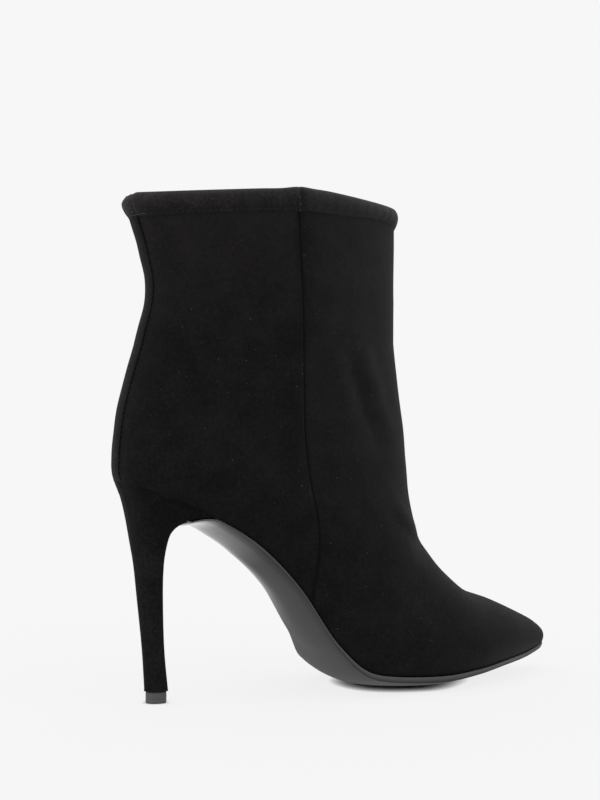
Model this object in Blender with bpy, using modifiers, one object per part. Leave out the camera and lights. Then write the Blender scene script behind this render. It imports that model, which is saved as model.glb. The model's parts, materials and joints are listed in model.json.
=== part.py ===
"""Right ankle boot with a stiletto heel: hollow upper, cuff, back strip, insole, sole, heel, top piece.

+X is the outer side of the foot, +Y the toe, +Z up, in metres. The tables below are in millimetres,
measured from the middle of the heel tip on the floor, and are turned into metres as they are read.
"""
import math
from collections import namedtuple

import bmesh
import bpy
import numpy as np

MM = 0.001

# Sizes of the whole boot
WALL = 1.9            # upper leather with its lining
GAP = 0.3             # left between pieces that lie on each other
FULLNESS = 0.85       # below one the lower or back half of a section is squarer than an ellipse
UPPER_COLUMNS = 32    # faces round a section of the upper
STEPS = 2             # sections drawn for each row of the table

# A section runs from the sole line (low) over the foot to the ridge or shaft front (top).
# outer, inner: where it is widest; outer_edge, inner_edge: where it meets the sole; middle: its ridge.
# crown: how far the bed of the foot dips between the edges; rise: how much higher the inner edge is.
# Behind the heel the edges are nought and the section closes on itself along the back seam.
Section = namedtuple("Section", "top_y top_z low_y low_z outer inner outer_edge inner_edge middle crown rise")
SECTIONS = (
    Section(214.8, 16.0, 214.8, 15.6, -2.0, 2.0, -2.0, 2.0, -2.0, 0.0, 0.0),
    Section(214.2, 20.3, 213.3, 14.8, 4.5, 8.5, 3.8, 7.8, -2.0, 0.2, 0.0),
    Section(208.5, 25.2, 208.0, 13.5, 10.5, 14.0, 9.0, 12.5, -2.0, 0.5, 0.0),
    Section(196.0, 31.0, 193.0, 11.2, 20.0, 22.0, 16.0, 18.0, -2.0, 1.2, 0.0),
    Section(179.0, 38.0, 173.0, 10.4, 30.5, 31.0, 27.0, 26.5, -2.0, 2.4, 0.0),
    Section(160.0, 44.6, 150.0, 8.8, 39.0, 38.5, 36.0, 35.5, -2.5, 3.4, 0.0),
    Section(146.5, 55.4, 125.0, 8.0, 42.5, 40.5, 40.0, 38.0, -3.0, 3.8, 0.0),
    Section(139.2, 64.4, 94.0, 10.6, 42.0, 39.5, 38.0, 32.0, -3.0, 3.4, 0.5),
    Section(134.8, 71.5, 75.5, 24.2, 39.5, 37.0, 34.5, 18.0, -2.5, 2.4, 5.0),
    Section(132.8, 78.5, 58.6, 50.5, 37.5, 35.5, 28.5, 14.5, -2.0, 1.6, 2.0),
    Section(131.4, 86.0, 40.0, 69.7, 36.5, 35.0, 26.0, 15.0, -1.5, 1.4, 0.5),
    Section(130.3, 93.0, 20.0, 81.9, 36.0, 35.0, 25.5, 18.2, -1.0, 1.6, 0.0),
    Section(129.4, 100.0, 2.0, 90.2, 35.5, 35.0, 23.0, 21.8, -0.5, 1.8, 0.0),
    Section(128.7, 105.0, -11.0, 95.4, 35.3, 35.0, 16.5, 16.3, 0.0, 1.2, 0.0),
    Section(128.3, 108.0, -16.4, 97.8, 35.2, 35.0, 9.0, 9.0, 0.0, 0.5, 0.0),
    Section(128.0, 110.0, -18.4, 98.6, 35.2, 35.0, 0.0, 0.0, 0.0, 0.0, 0.0),
    Section(127.8, 118.0, -19.2, 109.0, 35.2, 35.2, 0.0, 0.0, 0.0, 0.0, 0.0),
    Section(126.2, 139.0, -16.8, 131.0, 36.0, 36.0, 0.0, 0.0, 0.0, 0.0, 0.0),
    Section(124.2, 165.0, -8.8, 161.0, 36.5, 36.5, 0.0, 0.0, 0.0, 0.0, 0.0),
    Section(123.3, 187.0, -3.6, 184.0, 37.0, 37.0, 0.0, 0.0, 0.0, 0.0, 0.0),
    Section(123.6, 209.0, -7.5, 204.5, 37.5, 37.5, 0.0, 0.0, 0.0, 0.0, 0.0),
    Section(123.4, 228.3, -14.2, 224.5, 38.0, 38.0, 0.0, 0.0, 0.0, 0.0, 0.0),
)
HEEL_BACK = 15        # row whose two edges meet behind the heel
COLLAR = len(SECTIONS) - 1
COLLAR_ROW_HEIGHT = SECTIONS[-1].low_z - SECTIONS[-2].low_z
FLATNESS = 0.38       # how far the panels of the shaft are drawn straight between their seams
FLAT_ROWS = 3         # rows above the heel over which they straighten
FOLD_ROUNDING = 0.06  # softness of the fold along the side seam
SEAM_PEAK = 1.8       # how much higher the collar is at the side seams

# Sole from heel breast to toe: how far it stands past the upper, its thickness, and the share of that
# thickness left at its edge
SoleStop = namedtuple("SoleStop", "y margin thickness edge")
SOLE_STOPS = (
    SoleStop(7.2, -0.8, 1.0, 0.9),
    SoleStop(24.0, 0.2, 2.2, 0.85),
    SoleStop(41.0, 0.3, 3.6, 0.9),
    SoleStop(60.0, 0.4, 3.2, 0.8),
    SoleStop(95.0, 0.6, 4.4, 0.7),
    SoleStop(125.0, 0.8, 4.6, 0.7),
    SoleStop(160.0, 0.6, 3.6, 0.7),
    SoleStop(195.0, 0.2, 2.4, 0.7),
    SoleStop(214.8, -0.4, 1.6, 0.7),
)
SOLE_COLUMNS = 12
SOLE_BEVEL = 0.5      # taken off the lower edge
WING_START = 20.5     # behind this the sole leaves the upper and the heel's wing lies between
WING_TIP = 17.5       # front end of the wing
WING_DEPTH = 6.4      # drop of the sole below the upper at the heel breast
WING_GAP = 0.25       # left between the wing and the sole beside the gap of the upper

INSOLE_THICKNESS = 1.6
INSOLE_INSET = 2.8    # from the edge of the upper
INSOLE_COLUMNS = 8
INSOLE_TOE = 1.8      # row of the table where it starts

# Heel: back and front of each section from the tip up, its half width, and how far it takes the seat's shape
HeelSection = namedtuple("HeelSection", "back_y back_z front_y front_z half flare")
HEEL_SECTIONS = (
    HeelSection(-4.9, 5.3, 4.9, 5.3, 4.8, 0.0),
    HeelSection(-6.2, 24.0, 3.0, 24.0, 4.9, 0.0),
    HeelSection(-8.7, 47.0, 2.0, 47.0, 5.9, 0.0),
    HeelSection(-10.1, 61.0, 1.6, 60.0, 7.6, 0.03),
    HeelSection(-11.7, 72.0, 1.3, 68.5, 10.2, 0.14),
    HeelSection(-12.9, 81.0, 1.2, 75.2, 13.5, 0.36),
    HeelSection(-14.3, 88.0, 2.8, 79.2, 16.5, 0.66),
    HeelSection(-16.0, 93.6, 6.6, 81.3, 19.0, 0.92),
)
HEEL_SIDE = 12        # points from the back of a heel section to its front corner
HEEL_FRONT = 8        # faces across the heel breast
WING_ROWS = 4

TOP_PIECE_HEIGHT = 5.0
TOP_PIECE_HALF = 4.3

# Cuff section: drop below the top edge of the upper, and distance out from its outer face
CuffStop = namedtuple("CuffStop", "drop out")
CUFF_STOPS = (
    CuffStop(7.5, GAP),
    CuffStop(7.5, 1.5),
    CuffStop(5.0, 2.2),
    CuffStop(2.0, 2.3),
    CuffStop(-0.6, 1.7),
    CuffStop(-2.0, -0.2),
    CuffStop(-2.0, -1.7),
    CuffStop(-0.6, -3.3),
    CuffStop(2.0, -3.7),
    CuffStop(7.5, -3.6),
    CuffStop(7.5, -WALL - GAP),
    CuffStop(-GAP, -WALL - GAP),
    CuffStop(-GAP, GAP),
)

STRIP_HALF = 4.0
STRIP_GAP = 0.35
STRIP_THICKNESS = 0.9
STRIP_COLUMNS = 4


def table(rows, name):
    """One named column of a table as an array."""
    return np.array([getattr(row, name) for row in rows], dtype=float)


def smooth(values, at):
    """Smooth curve through evenly spaced values, read at fractional places, that never doubles back."""
    at = np.clip(np.asarray(at, dtype=float), 0, len(values) - 1)
    slope = np.gradient(values)
    step = np.diff(values)
    most = 2 * np.minimum(np.abs(step[:-1]), np.abs(step[1:]))
    steady = step[:-1] * step[1:] > 0
    slope[1:-1] = np.where(steady, np.clip(slope[1:-1], -most, most), slope[1:-1])
    low = np.minimum(at.astype(int), len(values) - 2)
    part = at - low
    start = values[low]
    end = values[low + 1]
    lift = part * part * (3 - 2 * part)
    lead = part * (1 - part) ** 2
    tail = part * part * (part - 1)
    return start + (end - start) * lift + slope[low] * lead + slope[low + 1] * tail


def section(name, at):
    """A column of the section table at a fractional row."""
    return smooth(table(SECTIONS, name), at)


def edge_width(name, at):
    """Edge of the upper, kept closed behind the heel."""
    value = section(name, at)
    return np.where(np.asarray(at) >= HEEL_BACK, 0.0, value)


def flatness(at):
    """How far the shaft is drawn straight between its seams at a row."""
    return FLATNESS * np.clip((at - HEEL_BACK) / FLAT_ROWS, 0, 1)


def straight_width(along):
    """Width of a section with straight panels, from one at its middle to nought at its ends."""
    full = math.hypot(1, FOLD_ROUNDING)
    return (full - math.hypot(along, FOLD_ROUNDING)) / (full - FOLD_ROUNDING)


def last_point(at, turn):
    """Point of the upper's outer face. turn runs from -1 (outer edge) over 0 (ridge) to 1 (inner edge)."""
    at = float(at)
    middle = section("middle", at)
    if turn <= 0:
        reach = section("outer", at) - middle
        edge = edge_width("outer_edge", at) - middle
        side = 1.0
    else:
        reach = section("inner", at) + middle
        edge = edge_width("inner_edge", at) + middle
        side = -1.0
    if at >= HEEL_BACK:
        edge = 0.0
    tuck = math.asin(min(max(edge / reach, 0.0), 1.0) ** (1 / FULLNESS)) if reach > 1e-9 else 0.0
    angle = math.pi - abs(turn) * (math.pi - tuck)
    share = (math.cos(tuck) - math.cos(angle)) / (math.cos(tuck) + 1)
    width = math.sin(angle)
    if angle < math.pi / 2:
        width = max(width, 0.0) ** FULLNESS
    width += (straight_width(2 * share - 1) - width) * flatness(at)
    x = middle + side * reach * width
    low_z = section("low_z", at) + (section("rise", at) if turn > 0 else 0.0)
    y = section("low_y", at) + share * (section("top_y", at) - section("low_y", at))
    z = low_z + share * (section("top_z", at) - low_z)
    z += SEAM_PEAK * straight_width(2 * share - 1) ** 2 * max(at - COLLAR + 1, 0.0)
    return np.array([x, y, z])


def last_normal(at, turn):
    """Outward direction of the upper's outer face."""
    step = 0.02
    here = min(at, COLLAR - step)
    along = last_point(here + step, turn) - last_point(here - step, turn)
    low_turn = max(turn - 0.01, -1.0)
    high_turn = min(turn + 0.01, 1.0)
    across = last_point(at, high_turn) - last_point(at, low_turn)
    normal = np.cross(across, along)
    return normal / np.linalg.norm(normal)


def add_solid(name, points, faces, colour, roughness, closed=True):
    """Object from points in millimetres and faces, with its own material, under the boot."""
    mesh = bpy.data.meshes.new(name)
    work = bmesh.new()
    corners = [work.verts.new(np.asarray(point) * MM) for point in points]
    for face in faces:
        ring = list(dict.fromkeys(face))
        if len(ring) > 2:
            work.faces.new([corners[index] for index in ring])
    bmesh.ops.remove_doubles(work, verts=work.verts, dist=1e-7)
    bmesh.ops.recalc_face_normals(work, faces=work.faces)
    if closed and work.calc_volume(signed=True) < 0:
        bmesh.ops.reverse_faces(work, faces=work.faces)
    work.to_mesh(mesh)
    work.free()
    solid = bpy.data.objects.new(name, mesh)
    boot.objects.link(solid)
    solid.parent = stand
    material = bpy.data.materials.new(name)
    material.use_nodes = True
    shader = material.node_tree.nodes["Principled BSDF"]
    shader.inputs["Base Color"].default_value = (*colour, 1.0)
    shader.inputs["Roughness"].default_value = roughness
    mesh.materials.append(material)
    return solid


def sheet_faces(rows, columns, start=0, flip=False):
    """Faces of a grid of points."""
    faces = []
    for row in range(rows - 1):
        for column in range(columns - 1):
            corner = start + row * columns + column
            face = [corner, corner + 1, corner + columns + 1, corner + columns]
            faces.append(face[::-1] if flip else face)
    return faces


def plate(name, upper_grid, lower_grid, colour, roughness):
    """Solid between two grids of the same shape."""
    rows, columns = upper_grid.shape[:2]
    count = rows * columns
    points = np.concatenate([upper_grid.reshape(-1, 3), lower_grid.reshape(-1, 3)])
    faces = sheet_faces(rows, columns) + sheet_faces(rows, columns, count, True)
    border = [column for column in range(columns)]
    border += [row * columns + columns - 1 for row in range(1, rows)]
    border += [(rows - 1) * columns + column for column in range(columns - 2, -1, -1)]
    border += [row * columns for row in range(rows - 2, 0, -1)]
    for here, there in zip(border, border[1:] + border[:1]):
        faces.append([here, there, there + count, here + count])
    return add_solid(name, welded(points), relinked(points, faces), colour, roughness)


def welded(points):
    """Points with those that lie on each other named once."""
    return np.unique(np.round(points, 5), axis=0)


def relinked(points, faces):
    """Faces of the same points after welding."""
    _, names = np.unique(np.round(points, 5), axis=0, return_inverse=True)
    names = names.reshape(-1)
    return [[int(names[index]) for index in face] for face in faces]


def outline(at, margin):
    """Edge of the upper moved out by a margin: points on the outer side and on the inner side."""
    outer = np.stack([edge_width("outer_edge", at), section("low_y", at)], axis=1)
    inner = np.stack([-edge_width("inner_edge", at), section("low_y", at)], axis=1)
    pointed = abs(outer[0, 0] - inner[0, 0]) < 1e-6
    skip = 1 if pointed else 0
    ring = np.concatenate([outer[::-1], inner[skip:]])
    heading = np.gradient(ring, axis=0)
    heading /= np.linalg.norm(heading, axis=1)[:, None]
    away = np.stack([heading[:, 1], -heading[:, 0]], axis=1)
    spread = np.concatenate([margin[::-1], margin[skip:]])
    moved = ring + away * spread[:, None]
    count = len(at)
    return moved[:count][::-1], moved[count - skip:]


def row_at(y):
    """Row of the table whose sole line is at this place along the boot."""
    return np.interp(-np.asarray(y), -section("low_y", places), places)


def bed_height(x, y):
    """Height of the surface under the foot, dished between the edges of the upper."""
    at = row_at(y)
    outer = edge_width("outer_edge", at)
    inner = edge_width("inner_edge", at)
    half = np.maximum((outer + inner) / 2, 0.5)
    dish = np.clip(1 - ((x - (outer - inner) / 2) / half) ** 2, 0, 1)
    across = np.clip((outer - x) / np.maximum(outer + inner, 1.0), 0, 1)
    return section("low_z", at) + section("rise", at) * across - section("crown", at) * dish


def wing_drop(y):
    """How far the sole leaves the upper to make room for the wing of the heel."""
    return WING_DEPTH * np.clip((WING_START - y) / (WING_START - SOLE_STOPS[0].y), 0, 1) ** 1.5


def upright_gap(at):
    """Drop that leaves the gap between pieces square to the slope of the bed."""
    slope = np.gradient(section("low_z", at), at) / np.gradient(section("low_y", at), at)
    return GAP * np.sqrt(1 + slope ** 2)


def bed_grid(at, margin, columns):
    """Grid over the surface under the foot, within its edge moved out by a margin."""
    outer, inner = outline(at, margin)
    grid = np.zeros((len(at), columns + 1, 3))
    for column, share in enumerate(np.linspace(0, 1, columns + 1)):
        grid[:, column, :2] = outer + (inner - outer) * share
    grid[:, :, 2] = bed_height(grid[:, :, 0], grid[:, :, 1])
    return grid


places = np.linspace(0, HEEL_BACK, 400)
for old in list(bpy.data.objects):
    bpy.data.objects.remove(old, do_unlink=True)
boot = bpy.data.collections.new("ankle_boot")
bpy.context.scene.collection.children.link(boot)
stand = bpy.data.objects.new("boot", None)
boot.objects.link(stand)

SUEDE = (0.018, 0.017, 0.018)
SOLE_LEATHER = (0.075, 0.075, 0.08)
LINING = (0.16, 0.15, 0.14)

# Upper: one sheet through the sections, thickened inwards
rows = np.linspace(0, COLLAR, COLLAR * STEPS + 1)
turns = np.linspace(-1, 1, UPPER_COLUMNS + 1)
upper_grid = np.array([[last_point(at, turn) for turn in turns] for at in rows]).reshape(-1, 3)
upper_faces = relinked(upper_grid, sheet_faces(len(rows), len(turns)))
upper = add_solid("upper", welded(upper_grid), upper_faces, SUEDE, 0.95, closed=False)
wall = upper.modifiers.new("wall", "SOLIDIFY")
wall.thickness = WALL * MM
wall.offset = -1
wall.use_even_offset = True
wall.use_quality_normals = True

# Outsole: under the edge of the upper from the toe to the heel breast, flat on the floor at the ball
sole_at = np.concatenate([np.linspace(0, 2, 7), np.linspace(2, float(row_at(SOLE_STOPS[0].y)), 26)[1:]])
sole_y = section("low_y", sole_at)
margin = np.interp(sole_y, table(SOLE_STOPS, "y"), table(SOLE_STOPS, "margin"))
thickness = np.interp(sole_y, table(SOLE_STOPS, "y"), table(SOLE_STOPS, "thickness"))
sole_top = bed_grid(sole_at, margin, SOLE_COLUMNS)
sole_top[:, :, 2] -= upright_gap(sole_at)[:, None] + wing_drop(sole_top[:, :, 1])
sole_low = sole_top.copy()
from_middle = np.abs(np.linspace(-1, 1, SOLE_COLUMNS + 1))
edge = np.interp(sole_y, table(SOLE_STOPS, "y"), table(SOLE_STOPS, "edge"))
sole_low[:, :, 2] -= thickness[:, None] * (1 - (1 - edge)[:, None] * from_middle ** 2)
sole_low[:, [0, -1], 2] += SOLE_BEVEL
sole_low[0] = sole_low[0, 0]
sole_low[:, :, 2] = np.maximum(sole_low[:, :, 2], 0.0)
outsole = plate("outsole", sole_top, sole_low, SOLE_LEATHER, 0.45)

# Insole: inside the wall of the upper, on the sole and the heel seat
insole_at = np.concatenate([np.linspace(INSOLE_TOE, 12, 24), np.linspace(12, 14.2, 6)[1:]])
inset = np.full(len(insole_at), -INSOLE_INSET)
insole_low = bed_grid(insole_at, inset, INSOLE_COLUMNS)
insole_low[:, :, 2] += upright_gap(insole_at)[:, None]
insole_top = insole_low.copy()
insole_top[:, :, 2] += INSOLE_THICKNESS
insole = plate("insole", insole_top, insole_low, LINING, 0.8)


def heel_path(back, front):
    """Places along a heel section from its back to its front, closer together at the back."""
    share = 1 - np.cos(np.linspace(0, math.pi / 2, HEEL_SIDE + 1))
    return share, back + (front - back) * share[:, None]


def heel_ring(back, front, half, flare):
    """Section of the heel: round the outer side, across the breast, back along the inner side."""
    share, path = heel_path(np.array(back), np.array(front))
    rounding = np.sqrt(np.clip(1 - (1 - np.minimum(share / (0.55 + 0.3 * flare), 1)) ** 2, 0, 1))
    stem = half * rounding * (1 - 0.22 * np.clip((share - 0.7) / 0.3, 0, 1) ** 2)
    outer = stem + (edge_width("outer_edge", row_at(path[:, 0])) - stem) * flare
    inner = stem + (edge_width("inner_edge", row_at(path[:, 0])) - stem) * flare
    outer_side = np.stack([outer, path[:, 0], path[:, 1]], axis=1)
    inner_side = np.stack([-inner, path[:, 0], path[:, 1]], axis=1)
    span = np.linspace(0, 1, HEEL_FRONT + 1)[1:-1]
    breast = outer_side[-1] + (inner_side[-1] - outer_side[-1]) * span[:, None]
    return np.concatenate([outer_side, breast, inner_side[:0:-1]])


def capped(name, rings, cap, colour, roughness):
    """Solid from rings of points, flat at its start and closed over its end by rows across."""
    size = len(rings[0])
    points = [point for ring in rings for point in ring]
    faces = [list(range(size))]
    for row in range(len(rings) - 1):
        for column in range(size):
            after = (column + 1) % size
            faces.append([row * size + column, row * size + after,
                          (row + 1) * size + after, (row + 1) * size + column])
    start = len(points)
    points += [point for line in cap for point in line]
    faces += sheet_faces(len(cap), len(cap[0]), start)
    points = np.array(points)
    return add_solid(name, welded(points), relinked(points, faces), colour, roughness)


def cap_rows(ring, dished):
    """Rows across the end ring of a heel, from its back to its front."""
    lines = []
    for step in range(HEEL_SIDE + 1):
        outer = ring[step]
        inner = ring[-step] if step else ring[0]
        line = outer + (inner - outer) * np.linspace(0, 1, HEEL_FRONT + 1)[:, None]
        if dished and step:
            line[1:-1, 2] = bed_height(line[1:-1, 0], line[1:-1, 1]) - GAP
        lines.append(line)
    return lines


# Heel: sections from the tip to the breast, then the wing over the sole, then the dished seat
fine = np.linspace(0, len(HEEL_SECTIONS) - 1, 2 * len(HEEL_SECTIONS) - 1)
stem = {name: smooth(table(HEEL_SECTIONS, name), fine) for name in HeelSection._fields}
rings = []
for row in range(len(fine)):
    back = (stem["back_y"][row], stem["back_z"][row])
    front = (stem["front_y"][row], stem["front_z"][row])
    rings.append(heel_ring(back, front, stem["half"][row], stem["flare"][row]))
seat_back = section("low_y", HEEL_BACK)
top_of_stem = HEEL_SECTIONS[-1]
for share in np.linspace(0, 1, WING_ROWS):
    front_y = top_of_stem.front_y + (WING_TIP - top_of_stem.front_y) * share
    back_y = top_of_stem.back_y + (seat_back - top_of_stem.back_y) * (0.3 + 0.5 * share)
    seat_z = section("low_z", HEEL_BACK) - GAP
    back_z = top_of_stem.back_z + (seat_z - top_of_stem.back_z) * (0.3 + 0.5 * share)
    wing = heel_ring((back_y, back_z), (front_y, 0.0), top_of_stem.half, 0.95 + 0.05 * share)
    under = bed_height(wing[:, 0], wing[:, 1]) - wing_drop(front_y) + WING_GAP
    edge_under = section("low_z", row_at(front_y)) - wing_drop(front_y) + WING_GAP
    along = np.clip((wing[:, 1] - back_y) / (front_y - back_y), 0, 1)
    wing[:, 2] = back_z + (edge_under - back_z) * along
    across_breast = np.arange(HEEL_SIDE + 1, HEEL_SIDE + HEEL_FRONT)
    wing[across_breast, 2] = under[across_breast]
    rings.append(wing)
seat = heel_ring((seat_back, 0.0), (WING_TIP, 0.0), 1.0, 1.0)
seat[:, 2] = section("low_z", row_at(seat[:, 1])) - GAP
rings.append(seat)
seat_cap = cap_rows(seat, True)
rings[-1][HEEL_SIDE + 1:HEEL_SIDE + HEEL_FRONT] = seat_cap[-1][1:-1]
heel = capped("heel", rings, seat_cap, SUEDE, 0.9)

# Top piece: wear piece under the heel, standing on the floor
tip = heel_ring((-TOP_PIECE_HALF, 0.0), (TOP_PIECE_HALF, 0.0), TOP_PIECE_HALF, 0.0)
tip_top = tip + np.array([0.0, 0.0, TOP_PIECE_HEIGHT])
top_piece = capped("top_piece", [tip, tip_top], cap_rows(tip_top, False), (0.06, 0.06, 0.06), 0.6)

# Collar cuff: band folded over the top edge of the upper
cuff_points = []
for turn in turns[:-1]:
    for stop in CUFF_STOPS:
        at = COLLAR - max(stop.drop, 0.0) / COLLAR_ROW_HEIGHT
        point = last_point(at, turn) + last_normal(at, turn) * stop.out
        cuff_points.append(point + np.array([0.0, 0.0, max(-stop.drop, 0.0)]))
cuff_faces = []
size = len(CUFF_STOPS)
for column in range(UPPER_COLUMNS):
    after = (column + 1) % UPPER_COLUMNS
    for stop in range(size):
        beside = (stop + 1) % size
        cuff_faces.append([column * size + stop, column * size + beside,
                           after * size + beside, after * size + stop])
collar_cuff = add_solid("collar_cuff", cuff_points, cuff_faces, SUEDE, 0.95)

# Back strip: narrow strip over the back seam, cut from the upper's own face
strip_end = COLLAR - (CUFF_STOPS[0].drop + 0.6) / COLLAR_ROW_HEIGHT
strip_at = [HEEL_BACK + 0.1] + [at for at in rows if HEEL_BACK + 0.1 < at < strip_end] + [strip_end]
strip_under = np.zeros((len(strip_at), STRIP_COLUMNS + 1, 3))
strip_over = np.zeros_like(strip_under)
for row, at in enumerate(strip_at):
    for column, x in enumerate(np.linspace(-STRIP_HALF, STRIP_HALF, STRIP_COLUMNS + 1)):
        reach = section("outer", at) * (1 - flatness(at))
        turn = math.asin((abs(x) / reach) ** (1 / FULLNESS)) / math.pi - 1
        turn = turn if x >= 0 else -turn
        point = last_point(at, turn)
        normal = last_normal(at, turn)
        strip_under[row, column] = point + normal * STRIP_GAP
        strip_over[row, column] = point + normal * (STRIP_GAP + STRIP_THICKNESS)
back_strip = plate("back_strip", strip_over, strip_under, SUEDE, 0.95)

# The boot stands in the middle of its own box
solids = [piece for piece in boot.objects if piece.type == "MESH"]
corners = np.array([corner.co for piece in solids for corner in piece.data.vertices])
middle = (corners.min(axis=0) + corners.max(axis=0)) / 2
stand.location = (-middle[0], -middle[1], 0.0)
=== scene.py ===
"""Right ankle boot in black suede with a stiletto heel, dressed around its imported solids.

+X is the outer side of the foot, +Y the toe, +Z up. The tables are in millimetres from the middle of
the heel tip on the floor, and are turned into the shared frame, in metres, as each piece is made.
"""
import json
import math
from collections import namedtuple

import bmesh
import bpy
import numpy as np
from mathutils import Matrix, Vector

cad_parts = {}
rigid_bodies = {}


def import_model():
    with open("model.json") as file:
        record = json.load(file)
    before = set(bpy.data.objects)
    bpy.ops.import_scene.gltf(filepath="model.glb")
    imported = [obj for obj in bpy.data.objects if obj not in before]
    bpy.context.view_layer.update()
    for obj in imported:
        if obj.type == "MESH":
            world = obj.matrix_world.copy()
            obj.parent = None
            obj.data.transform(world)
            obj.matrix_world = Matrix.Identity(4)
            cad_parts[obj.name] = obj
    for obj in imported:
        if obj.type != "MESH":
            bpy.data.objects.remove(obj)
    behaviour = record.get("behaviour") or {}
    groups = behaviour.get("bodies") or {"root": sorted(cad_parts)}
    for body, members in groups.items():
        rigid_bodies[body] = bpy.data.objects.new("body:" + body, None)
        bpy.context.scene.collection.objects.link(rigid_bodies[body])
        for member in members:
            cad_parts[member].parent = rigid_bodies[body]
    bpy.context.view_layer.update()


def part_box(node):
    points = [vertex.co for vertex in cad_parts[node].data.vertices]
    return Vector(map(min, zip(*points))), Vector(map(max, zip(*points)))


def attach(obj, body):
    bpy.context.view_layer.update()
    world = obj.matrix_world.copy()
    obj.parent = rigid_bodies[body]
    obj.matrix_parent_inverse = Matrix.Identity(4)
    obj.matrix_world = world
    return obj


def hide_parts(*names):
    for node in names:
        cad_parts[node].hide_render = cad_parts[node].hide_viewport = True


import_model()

# Camera: at about the height of the ankle, off the outer side and a little behind, with a 60 mm lens.
# The heel tip is the point that every table is measured from.
MM = 0.001
CAMERA_PLACE = (560.0, -224.5, 109.4)
CAMERA_AZIMUTH = math.radians(62.0)
SENSOR_WIDTH = 36.0
# These three are in pixels of the picture.
PICTURE_HEIGHT = 800.0
FOCAL_LENGTH = 1332.0
HORIZON_DROP = 57.0
tip_low, tip_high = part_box("top_piece")
heel_tip = np.array([(tip_low.x + tip_high.x) / 2, (tip_low.y + tip_high.y) / 2, 0.0])


def in_frame(points):
    """Millimetres from the heel tip as places in the shared frame."""
    return np.asarray(points, dtype=float) * MM + heel_tip


def add_object(name, data):
    """Object put into the scene."""
    made = bpy.data.objects.new(name, data)
    bpy.context.scene.collection.objects.link(made)
    return made


camera_data = bpy.data.cameras.new("photo_camera")
camera_data.sensor_width = SENSOR_WIDTH
camera_data.lens = SENSOR_WIDTH * FOCAL_LENGTH / PICTURE_HEIGHT
camera_data.clip_start = 0.01
camera = add_object("photo_camera", camera_data)
camera.location = in_frame(CAMERA_PLACE)
pitch = math.atan(HORIZON_DROP / FOCAL_LENGTH)
gaze = Vector((-math.sin(CAMERA_AZIMUTH) * math.cos(pitch), math.cos(CAMERA_AZIMUTH) * math.cos(pitch),
               math.sin(pitch)))
camera.rotation_euler = gaze.to_track_quat("-Z", "Y").to_euler()
bpy.context.scene.camera = camera

# Upper: three suede panels sewn to a lining and pulled over a last, joined by side seams and a back seam.
# The nap is short and black, with soft folds where the shaft slumps over the instep.
# A section runs from the sole line (low) over the foot to the ridge or shaft front (top).
Section = namedtuple("Section", "top_y top_z low_y low_z outer inner outer_edge inner_edge middle crown rise")
SECTIONS = (
    Section(214.8, 16.0, 214.8, 15.6, -2.0, 2.0, -2.0, 2.0, -2.0, 0.0, 0.0),
    Section(214.2, 20.3, 213.3, 14.8, 4.5, 8.5, 3.8, 7.8, -2.0, 0.2, 0.0),
    Section(208.5, 25.2, 208.0, 13.5, 10.5, 14.0, 9.0, 12.5, -2.0, 0.5, 0.0),
    Section(196.0, 31.0, 193.0, 11.2, 20.0, 22.0, 16.0, 18.0, -2.0, 1.2, 0.0),
    Section(179.0, 38.0, 173.0, 10.4, 30.5, 31.0, 27.0, 26.5, -2.0, 2.4, 0.0),
    Section(160.0, 44.6, 150.0, 8.8, 39.0, 38.5, 36.0, 35.5, -2.5, 3.4, 0.0),
    Section(146.5, 55.4, 125.0, 8.0, 42.5, 40.5, 40.0, 38.0, -3.0, 3.8, 0.0),
    Section(139.2, 64.4, 94.0, 10.6, 42.0, 39.5, 38.0, 32.0, -3.0, 3.4, 0.5),
    Section(134.8, 71.5, 75.5, 24.2, 39.5, 37.0, 34.5, 18.0, -2.5, 2.4, 5.0),
    Section(132.8, 78.5, 58.6, 50.5, 37.5, 35.5, 28.5, 14.5, -2.0, 1.6, 2.0),
    Section(131.4, 86.0, 40.0, 69.7, 36.5, 35.0, 26.0, 15.0, -1.5, 1.4, 0.5),
    Section(130.3, 93.0, 20.0, 81.9, 36.0, 35.0, 25.5, 18.2, -1.0, 1.6, 0.0),
    Section(129.4, 100.0, 2.0, 90.2, 35.5, 35.0, 23.0, 21.8, -0.5, 1.8, 0.0),
    Section(128.7, 105.0, -11.0, 95.4, 35.3, 35.0, 16.5, 16.3, 0.0, 1.2, 0.0),
    Section(128.3, 108.0, -16.4, 97.8, 35.2, 35.0, 9.0, 9.0, 0.0, 0.5, 0.0),
    Section(128.0, 110.0, -18.4, 98.6, 35.2, 35.0, 0.0, 0.0, 0.0, 0.0, 0.0),
    Section(127.8, 118.0, -19.2, 109.0, 35.2, 35.2, 0.0, 0.0, 0.0, 0.0, 0.0),
    Section(126.2, 139.0, -16.8, 131.0, 36.0, 36.0, 0.0, 0.0, 0.0, 0.0, 0.0),
    Section(124.2, 165.0, -8.8, 161.0, 36.5, 36.5, 0.0, 0.0, 0.0, 0.0, 0.0),
    Section(123.3, 187.0, -3.6, 184.0, 37.0, 37.0, 0.0, 0.0, 0.0, 0.0, 0.0),
    Section(123.6, 209.0, -7.5, 204.5, 37.5, 37.5, 0.0, 0.0, 0.0, 0.0, 0.0),
    Section(123.4, 228.3, -14.2, 224.5, 38.0, 38.0, 0.0, 0.0, 0.0, 0.0, 0.0),
)
HEEL_BACK = 15
COLLAR = len(SECTIONS) - 1
FULLNESS = 0.85
WALL = 1.9
GAP = 0.3
FLATNESS = 0.38
FLAT_ROWS = 3
FOLD_ROUNDING = 0.06
SEAM_PEAK = 1.8


def table(rows, name):
    """One named column of a table."""
    return np.array([getattr(row, name) for row in rows], dtype=float)


def ramp(value, start, end):
    """Share of the way from start to end, kept between nought and one."""
    return np.clip((value - start) / (end - start), 0, 1)


def eased(share):
    """Share of the way with soft ends."""
    return share * share * (3 - 2 * share)


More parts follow.
